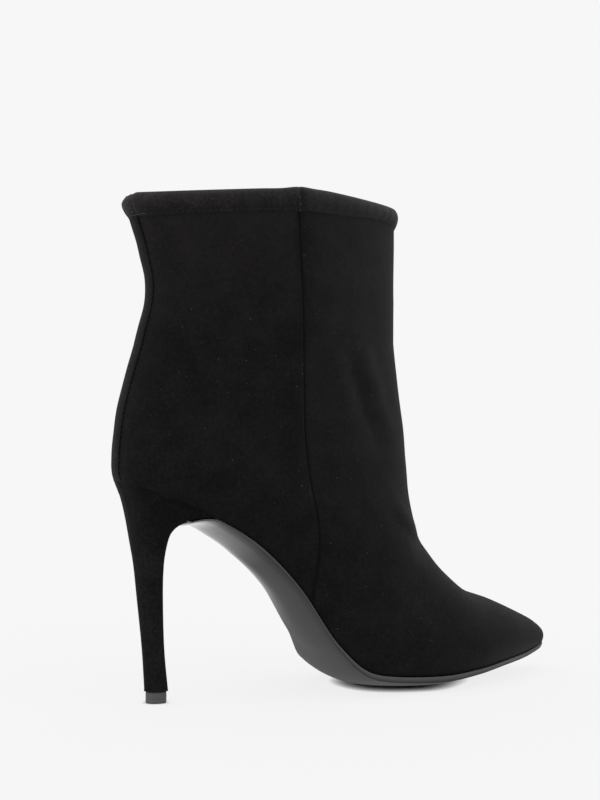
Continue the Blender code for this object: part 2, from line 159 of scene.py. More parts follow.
def bell(distance, width):
    """One at no distance, fading to nought beyond a width."""
    return np.exp(-(distance / width) ** 2)


def smooth(values, at):
    """Smooth curve through evenly spaced values, read at fractional places, that never doubles back."""
    values = np.asarray(values, dtype=float)
    at = np.clip(np.asarray(at, dtype=float), 0, len(values) - 1)
    slope = np.gradient(values, axis=0)
    step = np.diff(values, axis=0)
    most = 2 * np.minimum(np.abs(step[:-1]), np.abs(step[1:]))
    steady = step[:-1] * step[1:] > 0
    slope[1:-1] = np.where(steady, np.clip(slope[1:-1], -most, most), slope[1:-1])
    low = np.minimum(at.astype(int), len(values) - 2)
    part = at - low
    if values.ndim > 1:
        part = part[..., None]
    lift = eased(part)
    lead = part * (1 - part) ** 2
    tail = part * part * (part - 1)
    return values[low] + (values[low + 1] - values[low]) * lift + slope[low] * lead + slope[low + 1] * tail


def section(name, at):
    """A column of the section table at fractional rows."""
    return smooth(table(SECTIONS, name), at)


def edge_width(name, at):
    """Edge of the upper, kept closed behind the heel."""
    return np.where(np.asarray(at) >= HEEL_BACK, 0.0, section(name, at))


def flatness(at):
    """How far the panels of the shaft are drawn straight between their seams."""
    return FLATNESS * eased(ramp(at, HEEL_BACK, HEEL_BACK + FLAT_ROWS))


def straight_width(along):
    """Width of a section with straight panels, from one at its middle to nought at its ends."""
    full = math.hypot(1, FOLD_ROUNDING)
    return (full - np.hypot(along, FOLD_ROUNDING)) / (full - FOLD_ROUNDING)


def skin(at, turn):
    """Points of the upper's outer face; turn runs from -1 (outer edge) over 0 (ridge) to 1 (inner edge)."""
    at, turn = np.broadcast_arrays(np.asarray(at, dtype=float), np.asarray(turn, dtype=float))
    outer = turn <= 0
    middle = section("middle", at)
    reach = np.where(outer, section("outer", at) - middle, section("inner", at) + middle)
    edge = np.where(outer, edge_width("outer_edge", at) - middle, edge_width("inner_edge", at) + middle)
    edge = np.where(at >= HEEL_BACK, 0.0, edge)
    share_out = np.clip(edge / np.maximum(reach, 1e-9), 0, 1)
    tuck = np.where(reach > 1e-9, np.arcsin(share_out ** (1 / FULLNESS)), 0.0)
    angle = math.pi - np.abs(turn) * (math.pi - tuck)
    share = (np.cos(tuck) - np.cos(angle)) / (np.cos(tuck) + 1)
    width = np.clip(np.sin(angle), 0, 1)
    width = np.where(angle < math.pi / 2, width ** FULLNESS, width)
    straight = straight_width(2 * share - 1)
    width = width + (straight - width) * flatness(at)
    x = middle + np.where(outer, 1.0, -1.0) * reach * width
    low_z = section("low_z", at) + np.where(outer, 0.0, section("rise", at))
    y = section("low_y", at) + share * (section("top_y", at) - section("low_y", at))
    z = low_z + share * (section("top_z", at) - low_z)
    z = z + SEAM_PEAK * straight ** 2 * np.maximum(at - COLLAR + 1, 0)
    return np.stack([x, y, z], axis=-1)


def unit(vectors):
    """Vectors of length one."""
    return vectors / np.maximum(np.linalg.norm(vectors, axis=-1, keepdims=True), 1e-9)


# Side seam, the same on both sides: height and place along the boot, from the sole to the collar
SEAM_HEIGHT = (30.0, 45.0, 73.0, 100.0, 127.0, 154.0, 181.0, 208.0, 234.0)
SEAM_PLACE = (62.5, 63.6, 64.4, 59.7, 56.6, 56.0, 55.5, 53.6, 52.0)
SEAM_LAST_TURN = 0.985
SEAM_FADE_TURN = 0.3
SEAM_FADE_START = 8.6
SEAM_FADE_END = 5.6
HALVINGS = 30


def seam_place(height):
    """Where along the boot the side seam runs at a height."""
    at = np.interp(height, SEAM_HEIGHT, np.arange(len(SEAM_HEIGHT)))
    return smooth(SEAM_PLACE, at)


def seam_turn(at, side):
    """Turn of the side seam on each row, by halving; rows in front of the seam let it fade from the edge."""
    near_edge = np.full(len(at), 1.0)
    near_ridge = np.full(len(at), 0.05)
    for _ in range(HALVINGS):
        middle = (near_edge + near_ridge) / 2
        point = skin(at, middle * side)
        behind = point[:, 1] < seam_place(point[:, 2])
        near_edge = np.where(behind, middle, near_edge)
        near_ridge = np.where(behind, near_ridge, middle)
    fade = eased(ramp(at, SEAM_FADE_START, SEAM_FADE_END))
    return side * np.minimum(near_edge, SEAM_LAST_TURN - SEAM_FADE_TURN * fade)


SEAM_COLUMNS = 50
COLUMN_CROWDING = 1.6
FOOT_ROWS = 151
SHAFT_ROWS = 121
foot_rows = np.linspace(0, HEEL_BACK, FOOT_ROWS)
row_list = np.concatenate([foot_rows, np.linspace(HEEL_BACK, COLLAR, SHAFT_ROWS)[1:]])
outer_seam = seam_turn(row_list, -1)
inner_seam = seam_turn(row_list, 1)
spread = np.linspace(0, 1, SEAM_COLUMNS + 1) ** COLUMN_CROWDING
turn_grid = np.concatenate([
    -1 + (outer_seam[:, None] + 1) * (1 - spread[::-1]),
    outer_seam[:, None] - outer_seam[:, None] * spread[1:],
    inner_seam[:, None] * (1 - spread[::-1])[1:],
    inner_seam[:, None] + (1 - inner_seam[:, None]) * spread[1:],
], axis=1)
upper_grid = skin(row_list[:, None], turn_grid)

# The crease where the rows over the sole meet the closed rows of the shaft is eased out
CREASE_ROWS = 0.6
CREASE_END_TURN = 0.94
CREASE_PASSES = 20
crease = bell(row_list[1:-1, None] - HEEL_BACK, CREASE_ROWS)
crease = crease * ramp(np.abs(turn_grid[1:-1]), 1, CREASE_END_TURN)
for _ in range(CREASE_PASSES):
    between = (upper_grid[:-2] + upper_grid[2:]) / 2
    upper_grid[1:-1] += 0.5 * crease[..., None] * (between - upper_grid[1:-1])
along = np.gradient(upper_grid, axis=0)
across = np.gradient(upper_grid, axis=1)
upper_normal = np.cross(across, along)
upper_normal[0] = (0.0, 1.0, 0.0)
upper_normal = unit(upper_normal)
closed = row_list >= HEEL_BACK
back_normal = unit(upper_normal[closed, 0] + upper_normal[closed, -1])
upper_normal[closed, 0] = back_normal
upper_normal[closed, -1] = back_normal

# Soft folds: a path close to the suede, how wide the fold is to either side, and its height
Fold = namedtuple("Fold", "path width height")
FOLDS = (
    Fold(((31.4, 89.5, 166), (29, 95.8, 155), (26.5, 101.7, 143), (20.5, 113, 119)), 5.5, 1.1),
    Fold(((33.0, 83, 161), (31.6, 88, 147), (29.8, 93, 134), (27.5, 99, 121), (25, 104, 110)), 5.0, -1.0),
    Fold(((34.4, 75, 164), (33.4, 80.9, 142), (31.9, 85.5, 126), (30.4, 90.6, 110)), 6.5, 0.5),
    Fold(((27.6, 100.9, 103), (27, 107.8, 91.6), (26, 114, 82), (23.5, 121, 73.5)), 5.0, 0.9),
    Fold(((30.6, 104, 86), (28.7, 113, 76), (23.5, 123.5, 69), (12, 131.5, 68.5)), 4.5, -0.9),
    Fold(((34.6, 72, 96), (35.1, 80.3, 89), (34.5, 88, 82)), 8.0, -0.8),
    Fold(((33.5, 104, 68), (33, 116, 59), (31.5, 127, 51)), 9.0, 0.6),
    Fold(((26, 8, 168), (31, 20, 146), (33.5, 28.2, 121)), 10.0, 0.5),
    Fold(((33.8, 34, 182), (34.8, 38, 152), (35, 42, 128)), 9.0, -0.5),
    Fold(((24, 3, 120), (31, 20, 108), (34.4, 40, 96)), 8.0, 0.4),
    Fold(((-31, 90, 166), (-28.5, 97, 148), (-25, 104, 130), (-19, 113, 112)), 6.0, 0.9),
    Fold(((-32.5, 82, 160), (-30.5, 90, 140), (-28, 97, 122)), 5.5, -0.8),
    Fold(((-30, 104, 86), (-26, 115, 76), (-18, 127, 70), (-6, 134, 69)), 4.5, -0.7),
    Fold(((-33, 10, 160), (-34, 24, 138), (-34, 34, 118)), 10.0, -0.6),
    Fold(((-34, 60, 110), (-35, 72, 92), (-36, 84, 78)), 9.0, 0.6),
    Fold(((-36, 96, 52), (-37, 108, 40), (-38, 122, 30)), 8.0, -0.4),
)
FOLD_STEPS = 24


def fold_relief(points):
    """Height of all folds at points of the upper."""
    total = np.zeros(points.shape[:-1])
    skin_points = points.reshape(-1, 3)
    length = np.linspace(0, 1, FOLD_STEPS)
    for fold in FOLDS:
        path = smooth(fold.path, length * (len(fold.path) - 1))
        path = np.array([skin_points[np.argmin(((skin_points - spot) ** 2).sum(axis=1))] for spot in path])
        near = np.full(points.shape[:-1], 1e9)
        place = np.zeros(points.shape[:-1])
        for start, end, share in zip(path[:-1], path[1:], length):
            step = end - start
            on = np.clip(((points - start) @ step) / max(step @ step, 1e-6), 0, 1)
            gap = np.linalg.norm(points - start - on[..., None] * step, axis=-1)
            place = np.where(gap < near, share + on / (FOLD_STEPS - 1), place)
            near = np.minimum(near, gap)
        fade = np.sin(math.pi * np.clip(place * 0.92 + 0.04, 0, 1)) ** 0.8
        total += fold.height * fade * bell(near, fold.width)
    return total


SEAM_WIDTH = 0.62
LOW_SEAM_WIDTH = 0.97
EDGE_SHADE_WIDTH = 0.8
GROOVE_DEPTH = 0.4
GROOVE_WIDTH = 0.5
RIDGE_HALF = 8
place_along = upper_grid[..., 1]
height_up = upper_grid[..., 2]
from_seam = np.abs(place_along - seam_place(height_up))
beside_seam = np.abs(upper_grid[..., 0]) > RIDGE_HALF
seam_width = SEAM_WIDTH + (LOW_SEAM_WIDTH - SEAM_WIDTH) * ramp(height_up, 90, 50)
# Painted shade darkens the suede along the side seams, wider towards the sole, and along the upper's edges
# where it meets the sole and the heel.
seam_and_edge_shade = bell(from_seam, seam_width) * beside_seam
outer_half = np.arange(upper_grid.shape[1]) <= 2 * SEAM_COLUMNS
near_edge = np.where(outer_half[None, :, None], upper_grid[:, :1], upper_grid[:, -1:])
from_edge = np.linalg.norm(upper_grid - near_edge, axis=-1)
seam_and_edge_shade = np.maximum(seam_and_edge_shade, 0.95 * bell(from_edge, EDGE_SHADE_WIDTH))
folds = fold_relief(upper_grid)
below_collar = ramp(height_up, 226, 208)
sole_line = section("low_z", np.minimum(row_list, HEEL_BACK))
above_sole = ramp(height_up - sole_line[:, None], 0, 14)

# How far the front ridge stands out at each height, and how wide it is in turn
FRONT_TURN = 0.16
FRONT_HEIGHT = (15.0, 25.0, 42.0, 52.0, 63.0, 72.0, 80.0, 92.0, 100.0, 125.0, 150.0, 165.0, 185.0, 230.0)
FRONT_EASE = (0.0, 0.4, 0.2, 0.3, 1.1, 0.5, -0.4, 0.6, 1.1, 1.2, 0.5, -0.3, 0.7, 1.0)
slack = 0.22 * np.sin(height_up / 9.0 + place_along / 17) * np.sin(place_along / 21.0 + 1)
relief = (folds + slack) * below_collar * above_sole
relief -= beside_seam * GROOVE_DEPTH * bell(from_seam, GROOVE_WIDTH)
relief += bell(turn_grid, FRONT_TURN) * np.interp(height_up, FRONT_HEIGHT, FRONT_EASE)
upper_outer = upper_grid + upper_normal * relief[..., None]
INNER_STEP = 3
wall = np.clip(row_list / 2, 0.15, 1)[::INNER_STEP] * WALL
upper_inner = upper_outer[::INNER_STEP] - upper_normal[::INNER_STEP] * wall[:, None, None]


def grid_faces(rows, columns, start=0):
    """Faces of a grid of points."""
    first = (np.arange(rows - 1)[:, None] * columns + np.arange(columns - 1)).reshape(-1) + start
    return np.stack([first, first + 1, first + columns + 1, first + columns], axis=1).tolist()


def band_faces(ring, after):
    """Faces between two closed rings of point numbers."""
    return np.stack([ring, np.roll(ring, -1), np.roll(after, -1), after], axis=1).tolist()


def make_piece(name, points, faces, material, marks=None, inside=None, sharp=None):
    """Closed piece from points in millimetres and faces, smooth, with marks stored on its points."""
    mesh = bpy.data.meshes.new(name)
    mesh.from_pydata(in_frame(points).tolist(), [], faces)
    for mark, values in (marks or {}).items():
        layer = mesh.attributes.new(mark, "FLOAT", "POINT")
        layer.data.foreach_set("value", np.asarray(values, dtype=np.float32).reshape(-1))
    mesh.materials.append(material)
    if inside:
        inner_material, first_face = inside
        mesh.materials.append(inner_material)
        choice = np.zeros(len(mesh.polygons), dtype=np.int32)
        choice[first_face:] = 1
        mesh.polygons.foreach_set("material_index", choice)
    work = bmesh.new()
    work.from_mesh(mesh)
    bmesh.ops.remove_doubles(work, verts=work.verts, dist=2e-6)
    bmesh.ops.dissolve_degenerate(work, edges=work.edges, dist=1e-7)
    bmesh.ops.recalc_face_normals(work, faces=work.faces)
    if work.calc_volume(signed=True) < 0:
        bmesh.ops.reverse_faces(work, faces=work.faces)
    work.to_mesh(mesh)
    work.free()
    mesh.shade_smooth()
    if sharp:
        mesh.set_sharp_from_angle(angle=math.radians(sharp))
    return add_object(name, mesh)


class Wire:
    """A socket in a node tree, so that shader maths can be written as sums."""

    def __init__(self, tree, socket=None):
        self.tree = tree
        self.socket = socket

    def node(self, kind, settings=None, sockets=None, output=0):
        """Adds a node: its settings first, then its sockets."""
        made = self.tree.nodes.new(kind)
        for name, value in (settings or {}).items():
            setattr(made, name, value)
        self.fill(made, sockets or {})
        return Wire(self.tree, made.outputs[output])

    def fill(self, node, sockets):
        """Links sockets of a node to wires, or sets their own values."""
        for name, value in sockets.items():
            if isinstance(value, Wire):
                self.tree.links.new(value.socket, node.inputs[name])
            else:
                node.inputs[name].default_value = value

    def maths(self, operation, left, right):
        return self.node("ShaderNodeMath", {"operation": operation}, {0: left, 1: right})

    def __add__(self, other):
        return self.maths("ADD", self, other)

    __radd__ = __add__

    def __sub__(self, other):
        return self.maths("SUBTRACT", self, other)

    def __rsub__(self, other):
        return self.maths("SUBTRACT", other, self)

    def __mul__(self, other):
        return self.maths("MULTIPLY", self, other)

    __rmul__ = __mul__

    def __pow__(self, other):
        return self.maths("POWER", self, other)

    def held(self):
        """The value kept between nought and one."""
        return self.node("ShaderNodeMath", {"operation": "MULTIPLY", "use_clamp": True}, {0: self, 1: 1.0})

    def noise(self, scale, detail=2.0, roughness=0.5):
        """Noise over this place."""
        return self.node("ShaderNodeTexNoise", {},
                         {"Vector": self, "Scale": scale, "Detail": detail, "Roughness": roughness})

    def mark(self, name):
        """A mark stored on the piece's points."""
        return self.node("ShaderNodeAttribute", {"attribute_name": name}, output="Fac")

    def blend(self, low, high):
        """Colour between two, by this value."""
        return self.node("ShaderNodeMix", {"data_type": "RGBA"}, {0: self, 6: low, 7: high}, output=2)

    def bump(self, strength, distance):
        """Normal from this height, in metres."""
        return self.node("ShaderNodeBump", {}, {"Strength": strength, "Distance": distance, "Height": self})


def new_material(name):
    """Material with its shader and the place on the piece."""
    material = bpy.data.materials.new(name)
    material.use_nodes = True
    shader = material.node_tree.nodes["Principled BSDF"]
    place = Wire(material.node_tree).node("ShaderNodeTexCoord", output="Object")
    return material, shader, place


def suede(name, dark, light, nap_strength=0.55, sheen=0.05):
    """Black suede: short nap, brushed patches, painted shade in the seams, lighter where rubbed and where
    light is painted.
    """
    material, shader, place = new_material(name)
    nap = place.noise(1900.0, 3.0, 0.65)
    tuft = place.noise(620.0, 2.0, 0.6)
    brushed = place.noise(95.0, 3.0, 0.55)
    shade = 0.30 + 1.3 * (nap - 0.5) + 1.1 * (tuft - 0.5) + 0.8 * (brushed - 0.5)
    # The rub mark makes the suede lighter or darker by rubbing and by painted light; the seam mark darkens it
    # with painted shade in the seams and at joined edges.
    shade = (shade + place.mark("rub_and_painted_light")).held() * (1 - 0.95 * place.mark("seam"))
    place.fill(shader, {
        "Base Color": shade.blend((*dark, 1.0), (*light, 1.0)),
        "Roughness": 0.86 + 0.14 * tuft,
        "Normal": (nap * 0.6 + tuft * 0.5).bump(nap_strength, 0.0005),
        "Specular IOR Level": 0.12,
        "Sheen Weight": sheen,
        "Sheen Roughness": 0.45,
        "Sheen Tint": (0.66, 0.62, 0.63, 1.0),
    })
    return material


def lining_leather(name):
    """Smooth lining: fine pores and slight creasing."""
    material, shader, place = new_material(name)
    pores = place.node("ShaderNodeTexVoronoi", {}, {"Vector": place, "Scale": 1100.0})
    cloud = place.noise(60.0, 3.0)
    shade = (0.35 * pores + 0.9 * (cloud - 0.2)).held()
    place.fill(shader, {
        "Base Color": shade.blend((0.035, 0.033, 0.032, 1.0), (0.075, 0.071, 0.068, 1.0)),
        "Roughness": 0.5 + 0.2 * cloud,
        "Normal": (pores + cloud).bump(0.3, 0.0003),
    })
    return material


upper_suede = suede("upper_suede", (0.0010, 0.0008, 0.0009), (0.0092, 0.0080, 0.0085))
lining = lining_leather("lining_leather")
rows, columns = upper_outer.shape[:2]
inner_rows = upper_inner.shape[0]
inner_start = rows * columns
upper_faces = grid_faces(rows, columns)
collar_row = (rows - 1) * columns
inner_collar = inner_start + (inner_rows - 1) * columns
for column in range(columns - 1):
    upper_faces.append([collar_row + column, collar_row + column + 1,
                        inner_collar + column + 1, inner_collar + column])
heel_row = int(np.argmin(np.abs(row_list - HEEL_BACK)))
for row in range(0, heel_row, INNER_STEP):
    inner_row = row // INNER_STEP
    for column in (0, columns - 1):
        edge = [(row + step) * columns + column for step in range(INNER_STEP + 1)]
        edge.append(inner_start + (inner_row + 1) * columns + column)
        edge.append(inner_start + inner_row * columns + column)
        upper_faces.append(edge)
lining_from = len(upper_faces)
upper_faces += grid_faces(inner_rows, columns, inner_start)
upper_points = np.concatenate([upper_outer.reshape(-1, 3), upper_inner.reshape(-1, 3)])
unmarked = np.zeros(inner_rows * columns)
# The top of the shaft is painted lighter under the cuff, most behind the side seam: painted light. Fold
# ridges are lighter too, partly rubbed and partly a painted highlight.
behind_seam = ramp(seam_place(height_up) - place_along, 0, 3)
painted_light_on_shaft_top = (0.08 + 0.45 * behind_seam) * ramp(height_up, 160, 220)
rub_and_painted_light = np.clip(relief, 0, 1.2) * 0.16 + painted_light_on_shaft_top
upper_marks = {"seam": np.concatenate([seam_and_edge_shade.reshape(-1), unmarked]),
               "rub_and_painted_light": np.concatenate([rub_and_painted_light.reshape(-1), unmarked])}
upper = make_piece("boot_upper", upper_points, upper_faces, upper_suede, upper_marks,
                   (lining, lining_from), 60)
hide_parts("upper")
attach(upper, "root")

# Collar cuff: a suede band folded over the top edge as a soft roll and sewn down along its lower edge.
# Its ends butt against the back strip, which is folded over the collar a little lower.
CuffStop = namedtuple("CuffStop", "drop out")
CUFF_STOPS = (
    CuffStop(8.0, 0.14),
    CuffStop(8.4, 0.2),
    CuffStop(8.2, 0.45),
    CuffStop(7.3, 0.85),
    CuffStop(6.2, 1.35),
    CuffStop(4.2, 2.0),
    CuffStop(2.0, 2.35),
    CuffStop(0.2, 2.15),
    CuffStop(-1.2, 1.2),
    CuffStop(-1.9, 0.0),
    CuffStop(-2.0, -1.2),
    CuffStop(-1.4, -2.5),
    CuffStop(0.0, -3.4),
    CuffStop(2.0, -3.7),
    CuffStop(5.0, -3.6),
    CuffStop(7.3, -3.3),
    CuffStop(7.5, -2.8),
    CuffStop(7.3, -WALL - GAP),
    CuffStop(4.0, -WALL - GAP),
    CuffStop(0.0, -WALL - GAP),
    CuffStop(-GAP, -WALL),
    CuffStop(-GAP, 0.0),
    CuffStop(0.0, GAP),
    CuffStop(4.0, GAP),
)
COLLAR_ROW_HEIGHT = SECTIONS[-1].low_z - SECTIONS[-2].low_z
STRIP_HALF = 4.0
CAP_MARGIN = 0.8
SEWN_DROP = 7.1
CUFF_COLUMNS = 321
TURN_LENGTH = 110


def cuff_depth(turn):
    """Depth of the cuff round the collar, less beside the front and over the strip."""
    over_strip = ramp(np.abs(turn), 1 - 2.2 * cap_turn, 1 - 1.2 * cap_turn)
    return 1 - 0.3 * bell(np.abs(turn) - 0.22, 0.16) - 0.09 * over_strip


def skin_normal(at, turn):
    """Outward direction of the closed part of the upper, read across the back seam."""
    step = 0.02
    here = np.minimum(at, COLLAR - step)
    lengthways = skin(here + step, turn) - skin(here - step, turn)
    after = (turn + 0.01 + 1) % 2 - 1
    before = (turn - 0.01 + 1) % 2 - 1
    sideways = skin(at, after) - skin(at, before)
    return unit(np.cross(sideways, lengthways))


def off_skin(at, turn, out_by):
    """Points of the closed part of the upper, moved outwards."""
    return skin(at, turn) + skin_normal(at, turn) * np.asarray(out_by)[..., None]


def turn_at_back(x, at):
    """Turn of a place beside the back seam, x to the outer side."""
    reach = section("outer", at) * (1 - flatness(at))
    turn = np.arcsin(np.clip(np.abs(x) / reach, 0, 1) ** (1 / FULLNESS)) / math.pi - 1
    return np.where(x >= 0, turn, -turn)


collar_seam = float(outer_seam[-1])
cap_turn = float(turn_at_back(np.array(STRIP_HALF + CAP_MARGIN), np.array(float(COLLAR)))) + 1
cuff_turns = np.linspace(-1, 1, CUFF_COLUMNS)[:-1]
close_by = np.linspace(-1, 1, 15)
cuff_turns = np.concatenate([
    cuff_turns, collar_seam + 0.02 * close_by, -collar_seam + 0.02 * close_by,
    -1 + cap_turn + 0.012 * close_by, 1 - cap_turn + 0.012 * close_by,
])
cuff_turns = np.unique(np.round(cuff_turns, 5))
stop_at = np.linspace(0, len(CUFF_STOPS), 3 * len(CUFF_STOPS) + 1)[:-1]
ring_stops = np.array(CUFF_STOPS + CUFF_STOPS[:1])
stops = smooth(ring_stops, stop_at)
drop = np.broadcast_to(stops[:, 0], (len(cuff_turns), len(stops))).copy()
out = np.broadcast_to(stops[:, 1], drop.shape).copy()
cuff_turn = np.broadcast_to(cuff_turns[:, None], drop.shape)
shown = np.clip((out - 0.4) / 0.8, 0, 1)
collar_steps = np.linalg.norm(np.diff(skin(COLLAR, cuff_turns), axis=0), axis=1)
collar_walk = np.concatenate([[0], np.cumsum(collar_steps)])
walk = np.broadcast_to(collar_walk[:, None], drop.shape)
to_seam = np.minimum(np.abs(cuff_turn - collar_seam), np.abs(cuff_turn + collar_seam)) * TURN_LENGTH
to_back = (1 - np.abs(cuff_turn)) / cap_turn
from_sewn = drop - SEWN_DROP


def wave(length, start=0.0):
    """Even wave round the collar."""
    return np.sin(walk * 2 * math.pi / length + start)


# Wrinkles beside the front, slow ripples, puckers along the sewn line and a lump over each side seam
front_wrinkles = bell(np.abs(cuff_turn) - 0.16, 0.09)
ripple = 0.16 * front_wrinkles * wave(3.1) + 0.07 * wave(7.3, 1.0) + 0.12 * wave(41.0)
pucker = 0.10 * wave(2.4) * bell(from_sewn, 0.8)
sewn_groove = -0.25 * bell(from_sewn, 0.5)
seam_bump = 0.75 * bell(to_seam, 2.6) - 0.65 * bell(to_seam, 0.5)
at_front = bell(cuff_turn, FRONT_TURN)
out += shown * (ripple + pucker + sewn_groove + seam_bump) + 0.8 * at_front * ramp(out, 0, 0.14)

# The top of the roll rises over the seams and before them, and is lower over the strip
high = ramp(drop, 1.5, -1.5)
drop += 0.25 * bell(to_seam - 4, 3) * high
drop -= 0.3 * seam_bump * high
in_cap = 1 / (1 + np.exp((to_back - 1) * 12))
out -= in_cap * shown * 0.4
drop += high * (0.6 * in_cap - bell(to_back, 2.5) - 0.7 * at_front)
before_seam = 1 / (1 + np.exp((np.abs(cuff_turn) - abs(collar_seam)) * 40))
drop += high * (0.25 - 0.6 * before_seam)
cap_line = bell((to_back - 1.02) * 4.5, 0.6)
out -= 0.2 * cap_line * shown
cuff_at = COLLAR - np.maximum(drop, 0) * cuff_depth(cuff_turn) / COLLAR_ROW_HEIGHT
cuff_grid = off_skin(cuff_at, cuff_turn, out)
cuff_grid[..., 2] += np.maximum(-drop, 0)
cuff_rings = np.arange(drop.size).reshape(drop.shape)
cuff_faces = []
for ring, after in zip(cuff_rings, np.roll(cuff_rings, -1, axis=0)):
    cuff_faces += band_faces(ring, after)
# Painted shade darkens the cuff in its seams, along the edge of the cap over the strip, and faintly along the
# sewn line.
cuff_seam_shade = shown * np.clip(0.7 * bell(to_seam, 0.4) + 0.8 * cap_line, 0, 1)
cuff_seam_shade = np.maximum(cuff_seam_shade, 0.25 * bell(drop - SEWN_DROP, 0.5) * shown)
# The roll is painted lighter over its top and darker towards its sewn edge: painted highlight and painted
# shade.
cuff_painted_light = 0.17 * ramp(drop, 3, -1) * shown - 0.28 * ramp(drop, 2.5, 6.5)
cuff_suede = suede("cuff_suede", (0.0060, 0.0053, 0.0054), (0.0264, 0.0240, 0.0248), 0.35, 0.11)
cuff = make_piece("boot_collar_cuff", cuff_grid.reshape(-1, 3), cuff_faces, cuff_suede,
                  {"seam": cuff_seam_shade, "rub_and_painted_light": cuff_painted_light})
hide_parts("collar_cuff")
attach(cuff, "root")

# Back strip: a narrow suede strip sewn over the back seam, from the heel seat to the collar.
# Its edges are skived thin and its middle stands about a millimetre proud.
STRIP_LIFT = 0.35
STRIP_THICKNESS = 0.95
STRIP_ROWS = 150
STRIP_COLUMNS = 19
STRIP_END_DROP = 7.75


def slab(name, top, low, profile, material, marks=None, sharp=None):
    """Closed piece between two grids, with a profile of (share from top to low, out) round its edge."""
    rows, columns = top.shape[:2]
    border = list(range(columns))
    border += [row * columns + columns - 1 for row in range(1, rows)]
    border += [(rows - 1) * columns + column for column in range(columns - 2, -1, -1)]
    border += [row * columns for row in range(rows - 2, 0, -1)]
    upper_points = top.reshape(-1, 3)
    lower_points = low.reshape(-1, 3)
    ring = []
    for index in border:
        if not ring or np.linalg.norm(upper_points[index] - upper_points[ring[-1]]) > 1e-4:
            ring.append(index)
    edge_top = upper_points[ring]
    edge_low = lower_points[ring]
    heading = unit(np.roll(edge_top, -1, axis=0) - np.roll(edge_top, 1, axis=0))
    down = unit(edge_low - edge_top + np.array([0.0, 0.0, -1e-6]))
    away = unit(np.cross(heading, down))
    middle = edge_top.mean(axis=0)
    if ((edge_top - middle) * away).sum() < 0:
        away = -away
    layers = [edge_top + (edge_low - edge_top) * share + away * out_by for share, out_by in profile]
    total = rows * columns
    points = np.concatenate([upper_points, lower_points, *layers])
    faces = grid_faces(rows, columns) + grid_faces(rows, columns, total)
    levels = [np.array(ring)]
    levels += [2 * total + len(ring) * layer + np.arange(len(ring)) for layer in range(len(profile))]
    levels.append(np.array(ring) + total)
    for level, below in zip(levels[:-1], levels[1:]):
        faces += band_faces(level, below)
    stored = {}
    for mark, (on_top, on_low, on_layers) in (marks or {}).items():
        sides = [np.broadcast_to(value, (len(ring),)) for value in on_layers]
        stored[mark] = np.concatenate([np.asarray(on_top, dtype=float).reshape(-1),
                                       np.asarray(on_low, dtype=float).reshape(-1), *sides])
    return make_piece(name, points, faces, material, stored, sharp=sharp)


strip_at = np.linspace(HEEL_BACK + 0.1, COLLAR - STRIP_END_DROP / COLLAR_ROW_HEIGHT, STRIP_ROWS)
strip_x = STRIP_HALF * np.sin(np.linspace(-math.pi / 2, math.pi / 2, STRIP_COLUMNS))
strip_turn = turn_at_back(strip_x[None, :], strip_at[:, None])
strip_base = skin(strip_at[:, None], strip_turn)
strip_out = skin_normal(np.broadcast_to(strip_at[:, None], strip_turn.shape), strip_turn)
crowned = STRIP_LIFT + STRIP_THICKNESS * (1 - 0.45 * (strip_x / STRIP_HALF) ** 4)
waver = 0.06 * np.sin(strip_at * 9.0)[:, None] * np.ones(len(strip_x))
thinned = 0.3 + 0.7 * ramp(strip_at - strip_at[0], 0, 0.7)[:, None]
strip_top = strip_base + strip_out * (crowned[None, :] * thinned + waver)[..., None]
strip_low = strip_base + strip_out * STRIP_LIFT * thinned[..., None]
# The strip's suede is lighter than the upper's, and is painted lighter still, most at its edges: painted
# highlight.
strip_painted_light = np.broadcast_to(0.10 + 0.10 * np.abs(strip_x / STRIP_HALF) ** 3, strip_turn.shape)
strip_suede = suede("strip_suede", (0.0022, 0.0020, 0.0019), (0.0135, 0.0125, 0.0120), sheen=0.06)
strip = slab("boot_back_strip", strip_top, strip_low, ((0.35, 0.12), (0.75, 0.12)), strip_suede,
             {"rub_and_painted_light": (strip_painted_light, 0 * strip_painted_light, (0.1, 0.0))})
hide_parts("back_strip")
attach(strip, "root")

# Stitches: sewing thread in even lockstitch, sunk into the cuff above its lower edge, into its seams
# and into the ditch along both sides of the back strip. The thread is black, and paler where dust and
# wear reach it; the paler thread of the cuff stitches is partly a painted highlight. A bar tack holds
# the cuff down over the strip.
Stitch = namedtuple("Stitch", "pitch length thickness")
CUFF_STITCH = Stitch(2.4, 1.6, 0.5)
CAP_STITCH = Stitch(2.2, 0.9, 0.55)
SEAM_STITCH = Stitch(2.8, 1.1, 0.42)
TACK_STITCH = Stitch(1.1, 1.0, 0.4)
STRIP_STITCH = Stitch(2.2, 1.5, 0.42)
TACK_DROP = 6.9
TACK_OUT = 0.85
TACK_POINTS = 40
DITCH_OUT = 0.35
DITCH_LIFT = 0.08


def new_tree(name, inputs):
    """Node tree with named inputs and one output: the tree, its inputs' identifiers and their wires."""
    tree = bpy.data.node_groups.new(name, "GeometryNodeTree")
    identifiers = {}
    for input_name, kind in inputs.items():
        made = tree.interface.new_socket(input_name, in_out="INPUT", socket_type="NodeSocket" + kind)
        identifiers[input_name] = made.identifier
    tree.interface.new_socket("Made", in_out="OUTPUT", socket_type="NodeSocketGeometry")
    entry = tree.nodes.new("NodeGroupInput")
    return tree, identifiers, {input_name: Wire(tree, entry.outputs[input_name]) for input_name in inputs}


def end_tree(made, material):
    """Ends a node tree with what it made, in one material."""
    dyed = made.node("GeometryNodeSetMaterial", {}, {"Geometry": made, "Material": material})
    made.fill(made.tree.nodes.new("NodeGroupOutput"), {"Made": dyed})


